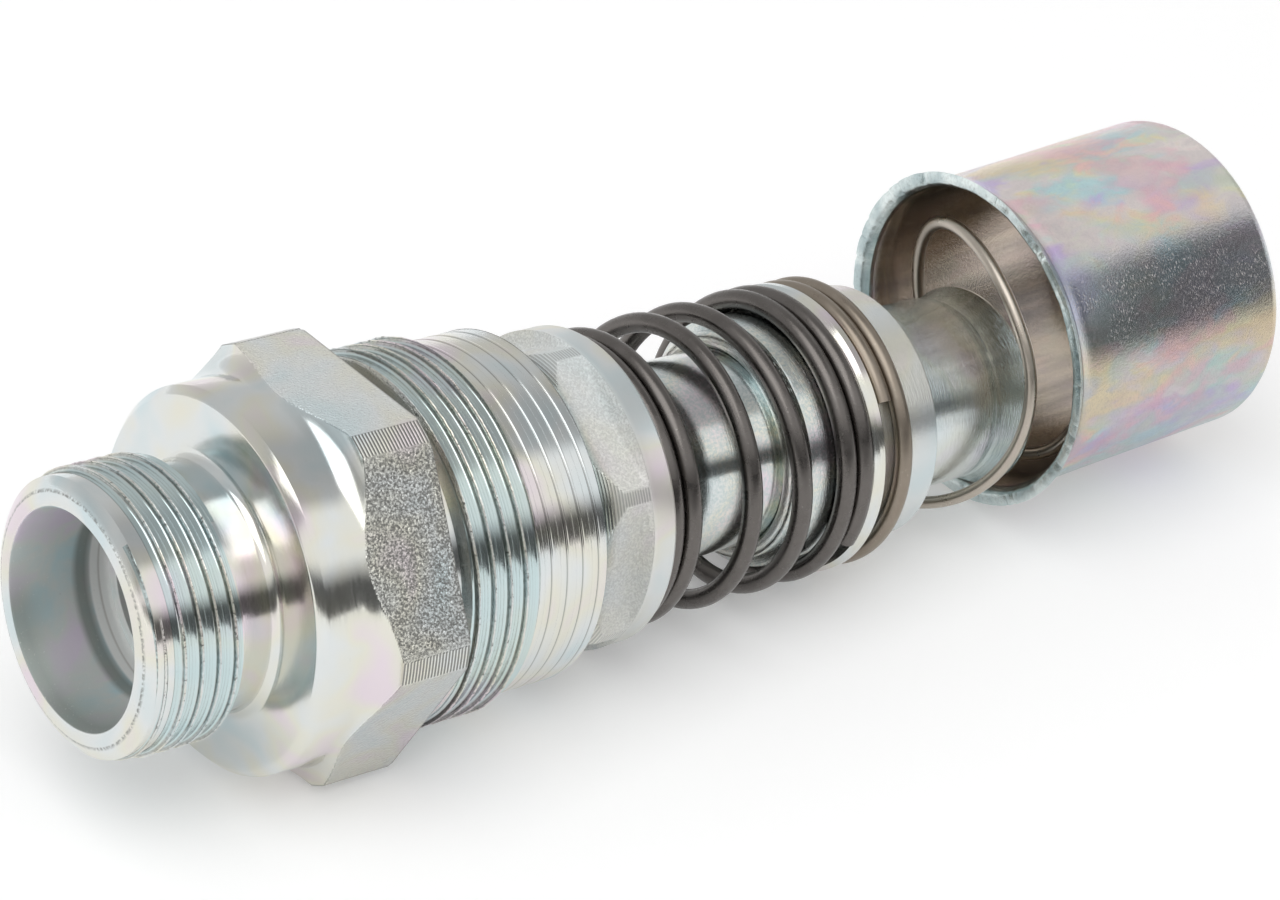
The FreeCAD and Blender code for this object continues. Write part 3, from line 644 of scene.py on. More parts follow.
def cup_finish(name, colours, place):
    """Yellow-passivated zinc on drawn sheet: pastel clouds, painted shade underneath, a side tinted
    grey-blue as painted reflection of the dark card, scuffs and a trimmed rim.
    """
    finish = Finish(name, place)
    x, y, z = finish.split(finish.point)
    drawn = finish.join(finish.times(x, 0.6), y, z)
    mottle = finish.noise(drawn, 0.42, 3.0, 0.55, 0.6)
    top, under, mouth = finish.span(z, 6.0, 17.0), finish.span(z, 7.0, 0.0), finish.span(x, 10.0, 2.0)
    colour = colours.cup_pale
    clouds = ((colours.cup_teal, 0.09, 0.7, (41.0, 0.0, 5.0), under),
              (colours.cup_violet, 0.1, 0.7, (5.0, 61.0, 37.0), mouth),
              (colours.cup_green, 0.11, 0.5, (71.0, 13.0, 29.0), under),
              (colours.cup_yellow, 0.08, 0.65, (0.0, 7.0, 3.0), top),
              (colours.cup_pink, 0.12, 0.56, (17.0, 23.0, 0.0), top))
    for tint, scale, share, away, more in clouds:
        cloud = finish.noise(finish.vector("ADD", drawn, away), scale, 3.0, 0.55, 0.4)
        cloud = finish.math("MULTIPLY_ADD", mottle, 0.35, finish.math("MULTIPLY_ADD", more, 0.035, cloud))
        colour = finish.blend(finish.span(cloud, 0.66, 0.81, 0.0, share, smooth=True), colour, tint)
    # Painted shade: the underside turns towards cup_shade; the mottle adds random tone.
    shade = finish.math("ADD", finish.times(under, 0.75), finish.span(mottle, 0.36, 0.64, 0.45, 0.0))
    colour = finish.blend(finish.math("MINIMUM", shade, 1.0), colour, colours.cup_shade, "MULTIPLY")
    # Painted reflection: the side that mirrors the dark card is tinted grey-blue; scuffs gather on it.
    scuffed_reflecting = finish.zone(finish.azimuth(y, z), *SCUFFED_REFLECTING_SIDE)
    colour = finish.blend(finish.times(scuffed_reflecting, 0.65), colour, colours.cup_reflected_grey)
    radius = finish.vector("LENGTH", finish.join(0.0, y, z))
    within = finish.times(finish.span(radius, 17.4, 17.1), finish.span(x, 31.3, 31.0))
    drag = finish.noise(finish.join(finish.times(x, 0.1), y, z), 0.3, 3.0, 0.6)
    inside = finish.ramp(drag, ((0.36, colours.cup_inside_dark), (0.58, colours.cup_inside)))
    colour = finish.blend(finish.times(within, 0.85), colour, inside)
    grain = finish.noise(finish.point, 3.4, 5.0, 0.7)
    scuffs = finish.noise(finish.join(finish.times(x, 3.0), y, z), 2.6, 4.0, 0.7)
    patch = finish.span(finish.noise(finish.point, 0.22, 2.0, 0.5), 0.38, 0.54)
    specks = finish.times(finish.span(scuffs, 0.56, 0.68), patch, scuffed_reflecting)
    worn = finish.math("ADD", finish.times(specks, 0.6), finish.span(scuffs, 0.48, 0.72, 0.0, 0.25))
    colour = finish.blend(specks, colour, colours.cup_pale)
    rim = finish.span(x, 1.3, 0.9)
    trimmed = finish.noise(finish.point, 0.3, 2.0, 0.5)
    edge = finish.ramp(trimmed, ((0.36, colours.rim_dark), (0.6, colours.rim_bright)))
    colour = finish.blend(rim, colour, edge)
    finish.relief(grain, 0.03)
    finish.relief(scuffs, 0.016)
    finish.relief(finish.times(trimmed, rim), 0.25)
    roughness = finish.mix(rim, finish.span(grain, 0.3, 0.7, 0.1, 0.26), 0.2)
    return finish.done(colour, roughness, finish.rest(worn))


def wire_finish(name, dark, light, roughness, marked=False):
    """Drawn wire with fine lines along it and worn specks."""
    finish = Finish(name)
    specks = finish.noise(finish.point, 3.4, 5.0, 0.72)
    clouds = finish.noise(finish.point, 0.35, 3.0, 0.6)
    worn = finish.span(specks, 0.63, 0.72)
    share = finish.math("ADD", finish.times(clouds, 0.35), finish.times(worn, 0.8))
    colour = finish.blend(share, dark, light)
    if marked:
        lines = finish.join(finish.times(finish.attribute("along"), 60.0),
                            finish.times(finish.attribute("round"), 26.0), 0.0)
        finish.relief(finish.noise(lines, 1.0, 3.0, 0.6), 0.012)
    finish.relief(specks, 0.008)
    shine = finish.span(clouds, 0.3, 0.7, roughness - 0.06, roughness + 0.08)
    return finish.done(colour, shine, 1.0)


def moulded_finish(name, dark, light, roughness):
    """Moulded rubber or plastic with a fine mottled skin."""
    finish = Finish(name)
    clouds = finish.noise(finish.point, 1.6, 4.0, 0.6)
    colour = finish.ramp(clouds, ((0.3, dark), (0.75, light)))
    finish.relief(finish.noise(finish.point, 9.0, 3.0, 0.6), 0.02)
    return finish.done(colour, finish.span(clouds, 0.3, 0.7, roughness, roughness + 0.12), 0.0)


# ---------------------------------------------------------------------------------------------
# Sizes and colours
# ---------------------------------------------------------------------------------------------

def length(label, text, default):
    return FloatProperty(name=label, description=text, default=default, unit="LENGTH", precision=5)


def colour(label, text, default):
    return FloatVectorProperty(
        name=label, description=text, default=default, subtype="COLOR", min=0.0, max=1.0)


class CouplerThreads(PropertyGroup):
    """Sizes of the two screw threads"""

    pitch: length("Pitch", "Pitch of both threads", 0.002)
    port_crest: length("Port crest", "Crest radius of the port thread", 0.015)
    port_depth: length("Port depth", "Depth of the port thread's valleys", 0.00052)
    body_crest: length("Body crest", "Crest radius of the body thread", 0.02)
    body_depth: length("Body depth", "Depth of the body thread's valleys", 0.00062)
    land_radius: length("Land radius", "Radius of the land behind the body thread", 0.01895)
    score_depth: length("Score depth", "Depth of the tool's score round the land", 0.00016)
    burr: length("Burr", "Height of the ragged edge on the crests", 0.00005)
    columns: IntProperty(
        name="Columns", description="Faces round one turn of a thread", default=230, min=24)


class CouplerSprings(PropertyGroup):
    """Sizes of the coil springs"""

    main_wire: length("Main wire", "Wire of the main spring", 0.0022)
    main_radius: length("Main radius", "Mean radius of the main spring", 0.0152)
    main_start: FloatProperty(
        name="Main start", description="Azimuth of the main spring's first end",
        default=math.radians(117.0), subtype="ANGLE")
    coil_gap: length("Coil gap", "Gap between closed end coils", 0.0001)
    poppet_wire: length("Poppet wire", "Wire of the poppet spring", 0.0008)
    poppet_radius: length("Poppet radius", "Mean radius of the poppet spring", 0.0044)
    columns: IntProperty(name="Columns", description="Faces round the wire", default=20, min=8)


class CouplerColours(PropertyGroup):
    """Colours of the finishes"""

    zinc: colour("Zinc", "Bright zinc plate", (0.71, 0.735, 0.73))
    zinc_blue: colour("Zinc blue", "Bluish clouds of the plate", (0.61, 0.70, 0.72))
    zinc_yellow: colour("Zinc yellow", "Yellowish clouds of the plate", (0.735, 0.725, 0.64))
    zinc_pink: colour("Zinc pink", "Pinkish clouds of the plate", (0.745, 0.665, 0.71))
    valley: colour("Valley", "Blue-green film in the thread valleys", (0.50, 0.65, 0.66))
    film_teal: colour("Film teal", "Blue-green film inside the port", (0.55, 0.70, 0.73))
    film_grey: colour("Film grey", "Grey film inside the port", (0.68, 0.71, 0.69))
    film_violet: colour("Film violet", "Violet film inside the port", (0.73, 0.65, 0.76))
    socket: colour("Socket", "Clean wall of the port's socket, and the nut's flats", (0.93, 0.94, 0.92))
    # Painted shade in the port's recesses: the cone's low wall and its root.
    socket_shade: colour("Socket dark", "Dark band at the root of the port's cone", (0.22, 0.25, 0.23))
    # Partly painted shade: the cone darkens where it meets the land of the port body.
    cone_film_and_shade: colour("Cone film", "Dark blue-green film on the nut's cone", (0.17, 0.34, 0.38))
    # On the flow tube and the sleeve's lip under the main spring it is partly painted shade; on the nose
    # it is a stain.
    film_and_shade: colour("Nose film", "Oily film on the sleeve and the flow tube", (0.50, 0.59, 0.59))
    # Dirt and pits, and also painted shade: the ribs' roots, the port's bore and the corner behind the
    # hexagon take this colour.
    soil_and_shade: colour("Soil", "Dirt and pits in the plate", (0.16, 0.16, 0.15))
    spring: colour("Spring", "Dark oxide of the main spring", (0.115, 0.105, 0.098))
    spring_worn: colour("Spring worn", "Worn oxide of the main spring", (0.33, 0.31, 0.295))
    ring: colour("Ring", "Brown steel of the round wire ring", (0.24, 0.20, 0.16))
    ring_worn: colour("Ring worn", "Worn steel of the round wire ring", (0.55, 0.50, 0.43))
    cup_wire: colour("Cup wire", "Bright drawn wire of the cup's spring", (0.44, 0.39, 0.33))
    cup_wire_worn: colour("Cup wire worn", "Polished wire of the cup's spring", (0.70, 0.66, 0.60))
    cup_pale: colour("Cup pale", "Pale clouds of the cup", (0.80, 0.73, 0.70))
    cup_pink: colour("Cup pink", "Pink clouds of the cup", (0.84, 0.46, 0.55))
    cup_violet: colour("Cup violet", "Violet clouds of the cup", (0.57, 0.43, 0.78))
    cup_teal: colour("Cup teal", "Blue-green clouds of the cup", (0.42, 0.74, 0.78))
    cup_green: colour("Cup green", "Green clouds of the cup", (0.60, 0.74, 0.52))
    cup_yellow: colour("Cup yellow", "Yellow clouds of the cup", (0.86, 0.69, 0.36))
    # Painted reflection: the grey-blue of the cup's side that mirrors the dark card.
    cup_reflected_grey: colour("Cup rubbed", "Grey side of the cup, rubbed bare", (0.57, 0.64, 0.71))
    # Painted shade of the cup's underside.
    cup_shade: colour("Cup shade", "Deeper colour of the cup's underside", (0.70, 0.70, 0.76))
    cup_inside: colour("Cup inside", "Tan film inside the cup", (0.66, 0.57, 0.46))
    cup_inside_dark: colour("Cup inside dark", "Dark draw marks inside the cup", (0.42, 0.37, 0.31))
    rim_dark: colour("Rim dark", "Dull parts of the cup's trimmed rim", (0.46, 0.55, 0.56))
    rim_bright: colour("Rim bright", "Bright metal of the cup's trimmed rim", (0.76, 0.83, 0.82))
    rubber: colour("Rubber", "Seal rubber", (0.012, 0.012, 0.013))
    rubber_worn: colour("Rubber bloom", "Grey bloom of the rubber", (0.05, 0.05, 0.052))
    backing: colour("Backing", "Plastic of the backup rings", (0.62, 0.58, 0.48))
    backing_pale: colour("Backing pale", "Pale plastic of the backup rings", (0.78, 0.75, 0.68))
    floor: colour("Floor", "Studio floor", (0.86, 0.86, 0.86))


class CouplerStage(PropertyGroup):
    """Camera and floor"""

    lens: FloatProperty(
        name="Lens", description="Focal length in millimetres", default=140.6, unit="CAMERA")
    eye: FloatVectorProperty(
        name="Eye", description="Place of the camera", default=(-0.2402, -0.3483, 0.2600),
        subtype="TRANSLATION")
    floor_tip: FloatProperty(
        name="Floor tip", description="Rise of the floor along the flow axis, from hexagon to wire ring",
        default=math.radians(3.99), subtype="ANGLE")
    glow: FloatProperty(
        name="Glow", description="White that the floor adds to the light it gets", default=0.25)
    panel_power: FloatProperty(
        name="Panel", description="Power of the overhead panel in watts", default=5.0)


class PieceOperator:
    """What every operator of a piece shares"""

    bl_options = {"REGISTER", "UNDO"}


# ---------------------------------------------------------------------------------------------
# Pieces
# ---------------------------------------------------------------------------------------------

# Clearance in millimetres of a turned core under its thread.
CORE_CLEARANCE = 0.02
# Slopes of the bevels at the threads' ends, as rise along the axis.
PORT_BEVEL = 1.3077
PORT_RUN_OUT = -2.333
BODY_BEVEL = 1.6
BODY_RUN_OUT = -1.05
# How much more ragged the body thread is than the port thread.
BODY_BURR = 2.6
# A station past the part, for a thread with no land behind it.
NO_LAND = 1.0


class COUPLER_OT_port_body(PieceOperator, Operator):
    """Port body: turned collar and milled hexagon, with both threads and the scored land"""

    bl_idname = "coupler.port_body"
    bl_label = "Port body"

    def execute(self, context):
        threads, colours = context.scene.coupler_threads, context.scene.coupler_colours
        port_core = (threads.port_crest - threads.port_depth) / MM - CORE_CLEARANCE
        body_core = (threads.body_crest - threads.body_depth) / MM - CORE_CLEARANCE
        land_core = (threads.land_radius - threads.score_depth) / MM - CORE_CLEARANCE
        # Rim, thread core, undercut, collar, flare, hexagon blank, body thread core, land, then back
        # through the nut's socket, the flow bore, the tube's socket and the cone.
        section = [(0.0, 11.75), (0.0, 12.75), (0.05, 13.02), (0.2, 13.4), (0.45, 13.86)]
        section += [(0.45 + (port_core - 13.86) / PORT_BEVEL, port_core), (10.88, port_core)]
        section += [(11.6, 12.9)]
        section += fillet((14.9, 14.1), 1.2, -90, 0, 8)
        section += [(16.1, 19.2), (16.14, 19.38), (16.25, 19.53), (16.85, 20.13), (17.0, 20.26)]
        section += [(17.18, 20.3)] + tangent_flare((21.2, 20.3), (24.2, 23.0), 34)
        section += [(24.45, 23.0), (32.15, 23.0), (32.4, 22.8), (32.4, 18.6), (32.6, 18.4), (34.4, 18.4)]
        section += [(34.4 + (body_core - 18.4) / BODY_BEVEL, body_core), (43.3, body_core)]
        section += [(43.9, land_core)]
        section += [(52.35 - 18.95 + land_core, land_core), (52.4, 18.5), (52.4, 15.1), (51.4, 14.1)]
        section += [(40.0, 14.1), (40.0, 8.0), (12.0, 8.0), (11.1, 8.9), (11.0, 9.1), (11.0, 10.05)]
        section += [(6.6, 10.05), (0.25, 11.4), (0.06, 11.52)]
        body = turned_piece("port_shell", section)
        # The second stain is painted shade in the corner between the hexagon and the groove behind it.
        stains = (Stain(-0.2, 0.14, 0.05, 12.95, 0.75, False, colours.soil_and_shade),
                  Stain(32.3, 32.7, 0.12, 10.0, 0.75, True, colours.soil_and_shade))
        ribs = Ribs(least=22.9, last=32.5, pitch=0.39, depth=0.03, dark=0.85)
        grain = Grain(depth=0.24, dull=0.14, pitted=0.03, pitted_near=0.85, metal=0.35, metal_near=1.0)
        finish = plated_finish("port_plate", colours, ribs=ribs, grain=grain, stains=stains, port=True)
        flats_tree().run(body, finish, {
            "Start": 21.3 * MM, "End": 32.45 * MM, "Across Flats": 41.0 * MM, "Turn": math.radians(30.0),
            "Run-out": 0.0})
        smooth(body, MACHINED_EDGE)
        seat(body, "fitting", "plated_steel", "port_body")

        stains = (Stain(0.72, 1.0, 0.08, 10.0, 0.8, False, colours.soil_and_shade),)
        finish = plated_finish("thread_plate", colours, thread=True, stains=stains)
        maker = thread_tree()
        port = mesh_piece("port_thread", [], [])
        maker.run(port, finish, {
            "Start": 0.5 * MM, "Turns": 5.0, "Pitch": threads.pitch, "Start Angle": math.radians(60.0),
            "Crest Radius": threads.port_crest, "Depth": threads.port_depth, "Burr": threads.burr,
            "Front Station": 0.0, "Front Radius": 13.3 * MM, "Front Slope": PORT_BEVEL,
            "Back Station": 10.7 * MM, "Back Radius": threads.port_crest, "Back Slope": PORT_RUN_OUT,
            "Land Station": NO_LAND, "Land Radius": 0.0, "Score Depth": 0.0,
            "Last Station": 12.6 * MM, "Columns": threads.columns})
        block = mesh_piece("body_thread", [], [])
        maker.run(block, finish, {
            "Start": 32.4 * MM, "Turns": 10.0, "Pitch": threads.pitch, "Start Angle": math.radians(30.0),
            "Crest Radius": threads.body_crest, "Depth": threads.body_depth,
            "Burr": threads.burr * BODY_BURR,
            "Front Station": 34.4 * MM, "Front Radius": 18.4 * MM, "Front Slope": BODY_BEVEL,
            "Back Station": 42.9 * MM, "Back Radius": threads.body_crest, "Back Slope": BODY_RUN_OUT,
            "Land Station": 43.9 * MM, "Land Radius": threads.land_radius,
            "Score Depth": threads.score_depth, "Last Station": 52.38 * MM, "Columns": threads.columns})
        for piece in (port, block):
            smooth(piece, THREAD_EDGE)
            seat(piece, "fitting", "plated_steel")
        return {"FINISHED"}


class COUPLER_OT_guide_nut(PieceOperator, Operator):
    """Guide nut: turned cone, milled hexagon, spring flange and the flow tube"""

    bl_idname = "coupler.guide_nut"
    bl_label = "Guide nut"

    def execute(self, context):
        colours = context.scene.coupler_colours
        # Tail with the seal's groove, cone, hexagon blank, spring flange, and the flow tube with the
        # groove of the stop ring.
        section = [(40.0, 8.0), (40.0, 13.5), (40.5, 14.0), (42.4, 14.0), (42.4, 12.0), (45.5, 12.0)]
        section += [(45.5, 14.0)]
        section += run((52.0, 14.0), (56.5, 17.4), 0.1)
        section += run((56.6, 17.4), (59.8, 17.4), 0.1)
        section += [(59.9, 17.34), (60.0, 17.3), (62.6, 17.3), (62.88, 17.12), (63.0, 16.8)]
        section += fillet((63.8, 11.7), 0.8, 180, 270, 6)
        section += [(88.2, 10.9), (88.2, 10.3), (89.3, 10.3), (89.3, 10.9), (89.7, 10.9), (90.4, 10.2)]
        section += [(90.5, 10.05), (90.5, 8.1), (90.4, 8.0)]
        nut = turned_piece("nut_shell", section)
        # The first stain's dark blue-green is partly a film and partly painted shade beside the port
        # body's land.
        stains = (Stain(52.0, 54.6, 0.9, 10.0, 0.9, True, colours.cone_film_and_shade),
                  Stain(55.8, 60.0, 0.4, 15.0, 0.5, True, colours.socket),
                  # Partly painted shade: the flow tube darkens under the main spring's coils.
                  Stain(63.6, 90.0, 0.6, 8.2, 0.7, False, colours.film_and_shade))
        ribs = Ribs(least=13.99, last=59.8, pitch=0.34, depth=0.016, dark=0.4)
        grain = Grain(depth=0.14, dull=0.5, pitted=0.22, pitted_near=0.22, metal=0.15, metal_near=0.15)
        satin = Satin(first=55.4, last=63.2, least=15.4, dull=0.33, metal=0.72)
        finish = plated_finish("nut_plate", colours, ribs=ribs, grain=grain, satin=satin, stains=stains)
        flats_tree().run(nut, finish, {
            "Start": 51.95 * MM, "End": 59.88 * MM, "Across Flats": 31.0 * MM, "Turn": math.radians(-3.0),
            "Run-out": 0.7 * MM})
        smooth(nut, MACHINED_EDGE)
        seat(nut, "fitting", "plated_steel", "guide_nut")
        return {"FINISHED"}


def coil_path(name, radius, start, hand, stations, end_share, steps=46):
    """A path of half turns, each a flat arc tipped to reach the next station."""
    points = []
    azimuth = start
    for index, (first, last) in enumerate(zip(stations, stations[1:])):
        centre = Vector(((first + last) / 2, 0.0, 0.0))
        reach = Vector((first, -radius * math.cos(azimuth), radius * math.sin(azimuth))) - centre
        aside = azimuth + hand * math.pi / 2
        across = Vector((0.0, -math.cos(aside), math.sin(aside))) * reach.length
        share = end_share if index == len(stations) - 2 else 1.0
        for step in range(0 if index == 0 else 1, steps + 1):
            angle = math.pi * share * step / steps
            points.append(centre + reach * math.cos(angle) + across * math.sin(angle))
        azimuth += hand * math.pi
    edges = [(index, index + 1) for index in range(len(points) - 1)]
    return mesh_piece(name, points, [], edges)


# Rise of each half turn of the main spring's open coils, as a share of the room for them.
OPEN_RISES = (0.386, 0.0, 0.271, 0.081, 0.262)
# Share of the main spring's last half turn that is wound.
LAST_TURN = 0.78
POPPET_HALF_TURNS = 9


class COUPLER_OT_springs(PieceOperator, Operator):
    """Coil springs of the valve sleeve and of the poppet"""

    bl_idname = "coupler.springs"
    bl_label = "Springs"

    def execute(self, context):
        springs, colours = context.scene.coupler_springs, context.scene.coupler_colours
        maker = wire_tree()
        dark = wire_finish("spring_oxide", colours.spring, colours.spring_worn, 0.27, marked=True)

        low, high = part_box("main_spring")
        closed, settle = springs.main_wire + springs.coil_gap, springs.coil_gap
        first, last = low.x + springs.main_wire / 2, high.x - springs.main_wire / 2
        free = (last - first) - 2 * closed - 3 * settle
        rises = [settle, closed, settle]
        rises += [free * share for share in OPEN_RISES]
        rises += [settle / 2, closed, settle / 2]
        stations = [first]
        for rise in rises:
            stations.append(stations[-1] + rise)
        main = coil_path(
            "sleeve_spring", springs.main_radius, springs.main_start, -1, stations, LAST_TURN)
        maker.run(main, dark, {"Wire": springs.main_wire, "Columns": springs.columns})
        seat(main, "fitting", "spring_steel", "main_spring")
        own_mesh(main)

        low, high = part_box("poppet_spring")
        first, last = low.x + springs.poppet_wire / 2, high.x - springs.poppet_wire / 2
        rise = (last - first) / POPPET_HALF_TURNS
        stations = [first + rise * index for index in range(POPPET_HALF_TURNS + 1)]
        small = coil_path("valve_spring", springs.poppet_radius, 0.0, -1, stations, 1.0, steps=24)
        maker.run(small, dark, {"Wire": springs.poppet_wire, "Columns": 12})
        seat(small, "sleeve", "ring_steel", "poppet_spring")
        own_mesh(small)
        for piece in (main, small):
            smooth(piece, WIRE_EDGE)
        return {"FINISHED"}


class COUPLER_OT_cup(PieceOperator, Operator):
    """Drawn cup with its uneven trimmed rim, and the light spring in it"""

    bl_idname = "coupler.cup"
    bl_label = "Drawn cup"

    # Where the loose cup lies, and how far it is tipped.
    place = (0.11681, 0.0, 0.00546)
    tip = math.radians(-3.81)

    def execute(self, context):
        colours = context.scene.coupler_colours
        outer, inner, flare, rim_depth = 17.93, 16.83, 3.5, 1.6
        lip = tangent_flare((flare, outer), (0.0, 19.44), 14)
        mouth = tangent_flare((flare, inner), (0.0, 18.05), 14)
        section = [(0.0, 18.4), (0.0, 18.95), (0.08, 19.3)] + lip[-2::-1]
        section += run((4.5, outer), (30.4, outer), 1.6)
        section += fillet((30.4, 16.63), 1.3, 90, 0, 8)
        section += [(31.7, 12.6), (31.6, 12.5), (30.7, 12.5), (30.6, 12.6), (30.6, 16.63), (30.4, inner)]
        section += run((29.0, inner), (4.5, inner), 1.6) + mouth[:-1] + [(0.05, 18.15)]

        def trim(x, radius, azimuth):
            """Nicks and waves of the trimmed rim, and the faint unevenness of the drawn wall."""
            near = max(0.0, 1.0 - x / rim_depth)
            spoke = Vector((math.cos(azimuth) * 4.0, math.sin(azimuth) * 4.0, 0.0))
            wave = noise.noise(spoke)
            nick = max(0.0, noise.noise(spoke * 6.0 + Vector((0.0, 0.0, 9.0))) - 0.18)
            wall = noise.noise(Vector((x * 0.12, math.cos(azimuth) * 1.4, math.sin(azimuth) * 1.4)))
            edge = near * (0.16 * wave + 0.55 * nick) if radius > 17.0 else 0.0
            return edge, -near * 0.25 * nick + 0.05 * wall

        cup = turned_piece("cup_shell", section, columns=360, shift=trim)
        cup.data.transform(Matrix.Translation(self.place) @ Matrix.Rotation(self.tip, 4, "Y"))
        cup.data.materials.append(cup_finish("cup_passivate", colours, (self.place, self.tip)))
        smooth(cup, DRAWN_EDGE)
        seat(cup, "sleeve", "passivated_steel", "drawn_cup")
        wire = wire_finish("cup_wire", colours.cup_wire, colours.cup_wire_worn, 0.3)
        dress("cup_spring", wire)
        return {"FINISHED"}


class COUPLER_OT_sleeve(PieceOperator, Operator):
    """Valve sleeve with its lip, shoulder, neck and nose, and the washer, rings and valve on it"""

    bl_idname = "coupler.sleeve"
    bl_label = "Valve sleeve"

    def execute(self, context):
        colours = context.scene.coupler_colours
        nose_start, nose_length, nose_sag = 113.05, 5.05, 0.6
        # Rounded tail, groove, lip, neck and nose, then back through the face seal's groove, the valve
        # seat, the guide's bore and the slide bore with its seal's groove.
        section = [(82.0, 11.45)] + fillet((83.0, 11.6), 1.0, 180, 90, 8)
        section += [(83.4, 12.6), (84.15, 13.72), (84.4, 13.8), (92.9, 13.8), (92.9, 14.04)]
        section += [(92.98, 14.1), (101.5, 14.1), (101.82, 13.8), (101.9, 13.65), (101.9, 10.5)]
        section += [(102.0, 10.4), (112.9, 10.4), (113.0, 10.3)]
        section += tangent_flare((nose_start, 10.15), (118.1, 11.25), 20)
        section += [(118.4, 11.23), (118.6, 11.05), (118.6, 10.15), (117.1, 10.15), (117.1, 8.05)]
        section += [(118.6, 8.05), (118.6, 5.8), (115.0, 5.8), (112.0, 8.3), (100.7, 8.3), (100.7, 8.9)]
        section += [(99.7, 8.9), (99.7, 8.3), (99.0, 8.3), (99.0, 12.0), (88.15, 12.0), (88.15, 10.95)]
        section += [(87.2, 10.95), (87.2, 12.53), (84.6, 12.53), (84.6, 10.95), (82.5, 10.95)]

        def worn_nose(x, radius, azimuth):
            """The nose stands a little lower than the neck."""
            share = max(0.0, (x - nose_start) / nose_length) if radius > 10.2 else 0.0
            return 0.0, -nose_sag * share * math.sin(azimuth)

        shell = turned_piece("sleeve_shell", section, columns=300, shift=worn_nose)
        stains = (Stain(112.9, 118.3, 0.5, 5.0, 0.7, True, colours.film_and_shade),
                  Stain(102.2, 112.8, 0.3, 10.3, 0.6, True, colours.zinc_blue),
                  # Partly painted shade: the lip darkens under the main spring's coils.
                  Stain(82.0, 92.6, 0.6, 8.2, 0.7, False, colours.film_and_shade),
                  Stain(101.8, 102.2, 0.1, 5.0, 0.6, False, colours.soil_and_shade))
        satin = Satin(first=93.0, last=101.6, least=13.9, dull=0.24, metal=0.75)
        finish = plated_finish("sleeve_plate", colours, brush=0.022, satin=satin, stains=stains)
        shell.data.materials.append(finish)
        smooth(shell, MACHINED_EDGE)
        seat(shell, "sleeve", "plated_steel", "valve_sleeve")
        plate = plated_finish("valve_plate", colours)
        for node in ("spring_washer", "poppet", "valve_guide"):
            dress(node, plate)
        ring = wire_finish("ring_steel", colours.ring, colours.ring_worn, 0.32)
        for node in ("snap_ring", "stop_ring", "guide_circlip"):
            dress(node, ring)
        return {"FINISHED"}


class COUPLER_OT_seals(PieceOperator, Operator):
    """Finishes of the seals and their backup rings"""

    bl_idname = "coupler.seals"
    bl_label = "Seals"

    def execute(self, context):
        colours = context.scene.coupler_colours
        rubber = moulded_finish("seal_rubber", colours.rubber, colours.rubber_worn, 0.42)
        for node in ("nut_seal", "sleeve_seal", "face_seal", "poppet_seal"):
            dress(node, rubber)
        backing = moulded_finish("backup_plastic", colours.backing, colours.backing_pale, 0.4)
        for node in ("nut_backup_ring", "sleeve_backup_ring"):
            dress(node, backing)
        return {"FINISHED"}


# ---------------------------------------------------------------------------------------------
# Stage
# ---------------------------------------------------------------------------------------------

WHITE = (1.0, 1.0, 1.0, 1.0)
# Middle of the part, at which the lights aim.
MIDDLE = Vector((0.07, 0.0, 0.0))
# Grey of the screens round the part by azimuth in degrees: a dark gap at the near horizon, white beside
# the window, grey above and a pale wall behind.
SCREEN_LEVELS = (
    (-180, 0.80), (-24, 0.84), (-12, 0.66), (-4, 0.13), (17, 0.10), (26, 0.75), (33, 1.12), (56, 1.10),
    (66, 0.50), (78, 0.45), (102, 0.46), (116, 0.58), (132, 0.64), (160, 0.62), (180, 0.80))
# Azimuths of each screen's edges. The white world shows in the window between the screens.
SCREENS = {"near_screen": (-8.0, 31.0), "far_screen": (57.7, 188.0)}
SCREEN_RADIUS = 1.5
# First and last slant of a screen from the flow axis, and its faces that way and round the axis.
SCREEN_SLANTS = (4.0, 176.0, 6)
SCREEN_FACES = 8
# Azimuths of each card's edges round the cup, and its grey.
CARDS = {"low_card": (-30.0, 6.0, 0.78), "grey_card": (6.0, 60.0, 0.12), "top_card": (60.0, 140.0, 0.8)}
CARD_RADIUS = 0.06
CARD_ENDS = (0.140, 0.2)
CARD_FACES = 16
# Half the floor's width, and the station and height of the hexagon's edge on it.
FLOOR_HALF = 3.0
FLOOR_FOOT = (0.0322, -0.02051)
# Distances between which the floor's glow grows, and the glow past them.
GLOW_REACH = (0.5, 1.3)
FAR_GLOW = 0.75
PANEL_SIZE = 1.0
PANEL_PLACE = (-0.4, -0.2, 0.95)
# Directions of the picture's right side and of the way back to the camera.
VIEW_RIGHT = Vector((0.7847, -0.6063, 0.1289))
VIEW_BACK = Vector((-0.5836, -0.6528, 0.4831))


def bare_graph(owner):
    """The emptied node tree of a material or a world."""
    owner.use_nodes = True
    owner.node_tree.nodes.clear()
    return Graph(owner.node_tree)


